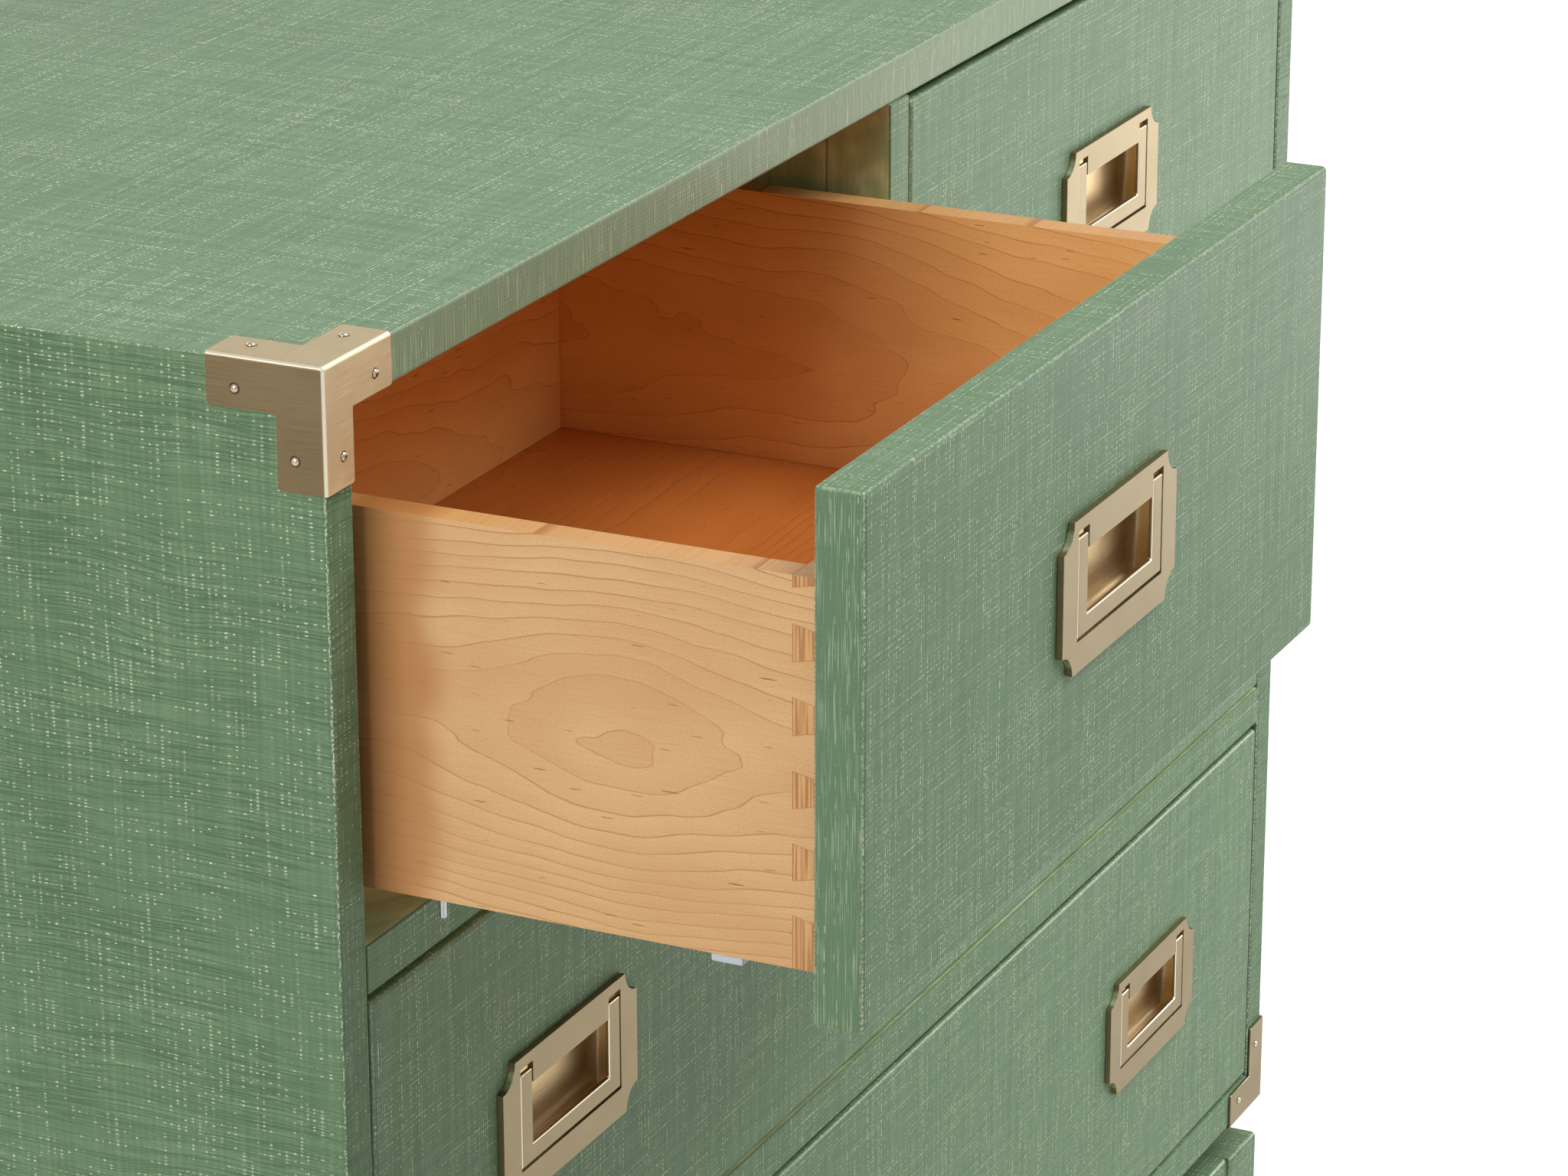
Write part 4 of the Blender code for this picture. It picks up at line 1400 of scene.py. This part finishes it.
def stop_pin(place, drawer):
    across = place.wall + place.inward * STOP_REACH
    middle = (across, place.front_face + STOP_ALONG, place.box_low - STOP_DROP / 2)
    pin = turn_rod(f"{place.node}_stop_pin", middle, STOP_RADIUS, STOP_DROP - STOP_GAP, sides=24)
    dress(smooth(soften(pin, STOP_EASE)), STEEL, drawer, "steel")


for drawer in PULLS:
    for across, inward in (("left", 1), ("right", -1)):
        slide = SlidePlace(drawer, across, inward)
        fixed_member(slide)
        moving_member(slide, drawer)
        catch(slide, drawer)
        stop_pin(slide, drawer)
print("slides under", len(PULLS), "drawers")

# %% [markdown]
# ## The studio
#
# The photograph was taken in soft, even light on white, a little from above and from the left of the
# chest. Two large lamps and a bounce card light the front and sides, a weaker one the back, and the
# world only fills the shadows. The pale floor keeps the soft shadow. Metal mirrors a backdrop that is
# darker on the left, as in a studio with a dark screen there. The camera stands where the photograph was
# taken.

# %% World and backdrop
WORLD_LIGHT = 0.17
DARK_SIDE = 0.5
MIRRORED = 0.9
WHITE = (1.0, 1.0, 1.0, 1.0)
BACKDROP_RAYS = ("Is Camera Ray", "Is Glossy Ray", "Is Transmission Ray")
world = bpy.data.worlds.new("studio")
bpy.context.scene.world = world
world.use_nodes = True
tree = world.node_tree
tree.nodes.clear()


def sky(strength):
    made = tree.nodes.new("ShaderNodeBackground")
    made.inputs["Color"].default_value = WHITE
    feed(tree, made.inputs["Strength"], strength)
    return made.outputs[0]


def sky_choice(amount, first, second):
    made = tree.nodes.new("ShaderNodeMixShader")
    feed(tree, made.inputs[0], amount)
    tree.links.new(first, made.inputs[1])
    tree.links.new(second, made.inputs[2])
    return made.outputs[0]


paths = tree.nodes.new("ShaderNodeLightPath")
seen, glossy, through = [Wire(tree, paths.outputs[name]) for name in BACKDROP_RAYS]
direction = tree.nodes.new("ShaderNodeSeparateXYZ")
tree.links.new(tree.nodes.new("ShaderNodeTexCoord").outputs["Generated"], direction.inputs[0])
rightward = Wire(tree, direction.outputs[0]) * 0.5 + 0.5
mirrored = sky(rightward * (MIRRORED - DARK_SIDE) + DARK_SIDE)
lit = sky_choice(glossy.most(through), sky(WORLD_LIGHT), mirrored)
target = tree.nodes.new("ShaderNodeOutputWorld")
tree.links.new(sky_choice(seen, lit, sky(1.0)), target.inputs["Surface"])
print("world light", WORLD_LIGHT, "and a white backdrop")


# %% Lamps
def lamp(name, place, aim, size, power):
    data = bpy.data.lights.new(name, "AREA")
    data.shape = "RECTANGLE"
    data.size, data.size_y = size
    data.energy = power
    made = bpy.data.objects.new(name, data)
    made.location = place
    made.rotation_euler = (Vector(aim) - Vector(place)).to_track_quat("-Z", "Y").to_euler()
    made.visible_camera = False
    bpy.context.scene.collection.objects.link(made)


AIM = (0.0, 0.0, 0.5)
FRONT_AIM = (0.0, -0.2, 0.62)
lamp("left_box", place=(-3.0, 0.4, 1.9), aim=AIM, size=(1.8, 1.6), power=55)
lamp("overhead_box", place=(0.6, -1.7, 3.3), aim=AIM, size=(2.4, 2.0), power=75)
lamp("bounce_card", place=(1.45, -0.8, 0.64), aim=FRONT_AIM, size=(1.1, 0.9), power=7.2)
lamp("back_box", place=(1.0, 3.2, 1.6), aim=AIM, size=(2.2, 1.4), power=22)
print("four lamps")

# %% Floor
FLOOR_SIZE = 24
FLOOR_GLOW = 0.7
GLOW_GROWS = (1.2, 3.5)
DARK_GROUND = (-1.5, 1.5)
BLACK = (0.0, 0.0, 0.0, 1.0)
FLOOR_DARK = (0.6, 0.6, 0.6, 1.0)
FLOOR_PALE = (0.64, 0.64, 0.64, 1.0)
bpy.ops.object.select_all(action="DESELECT")
bpy.ops.mesh.primitive_plane_add(size=FLOOR_SIZE, location=(0, 0, 0))
floor = bpy.context.object
floor.name = "studio_floor"
ground = Finish("studio_white")
floor_place = ground.node("ShaderNodeTexCoord", out="Object")
floor_x, floor_y = ground.split(floor_place)[:2]
seen, glossy, through = [ground.node("ShaderNodeLightPath", out=name) for name in BACKDROP_RAYS]
lightness = ground.rise(floor_x, *DARK_GROUND, DARK_SIDE, 1.0)
reach = (floor_x * floor_x + floor_y * floor_y) ** 0.5
glow = seen.most(glossy.most(through) * lightness) * ground.rise(reach, *GLOW_GROWS, FLOOR_GLOW, 1.0)
ground.set(
    base_color=ground.mix(ground.noise(floor_place, detail=2.0), FLOOR_DARK, FLOOR_PALE),
    roughness=0.8,
    emission_color=ground.mix(glow, BLACK, WHITE),
    emission_strength=1.0,
)
floor.data.materials.append(ground.material)
floor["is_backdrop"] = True
print("floor of", FLOOR_SIZE, "m")

# %% Camera
CAMERA_PLACE = Vector((-2.0779, -1.0505, 1.4374))
YAW, PITCH, ROLL = (math.radians(angle) for angle in (25.3042, 19.8900, -0.0412))
LENS_MM = 121.83
SENSOR_MM = 36
look = Vector((math.cos(PITCH) * math.cos(YAW), math.cos(PITCH) * math.sin(YAW), -math.sin(PITCH)))
level = Vector((math.sin(YAW), -math.cos(YAW), 0))
down = look.cross(level)
right_way = level * math.cos(ROLL) - down * math.sin(ROLL)
down_way = level * math.sin(ROLL) + down * math.cos(ROLL)
turn = Matrix((right_way, -down_way, -look)).transposed().to_4x4()
lens = bpy.data.cameras.new("photographer")
lens.lens = LENS_MM
lens.sensor_width = SENSOR_MM
lens.sensor_fit = "HORIZONTAL"
camera = bpy.data.objects.new("photographer", lens)
camera.matrix_world = Matrix.Translation(CAMERA_PLACE) @ turn
bpy.context.scene.collection.objects.link(camera)
bpy.context.scene.camera = camera
bpy.context.scene.view_settings.view_transform = "Standard"
print("camera at", [round(v, 3) for v in CAMERA_PLACE])

# %% Measure the dressed chest and finish
final_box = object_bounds()
boxes = {"cad": cad_box, "visual": final_box}
{name: [list(corner) for corner in box] for name, box in boxes.items()}
print("dressed box", [[round(v, 4) for v in corner] for corner in final_box])
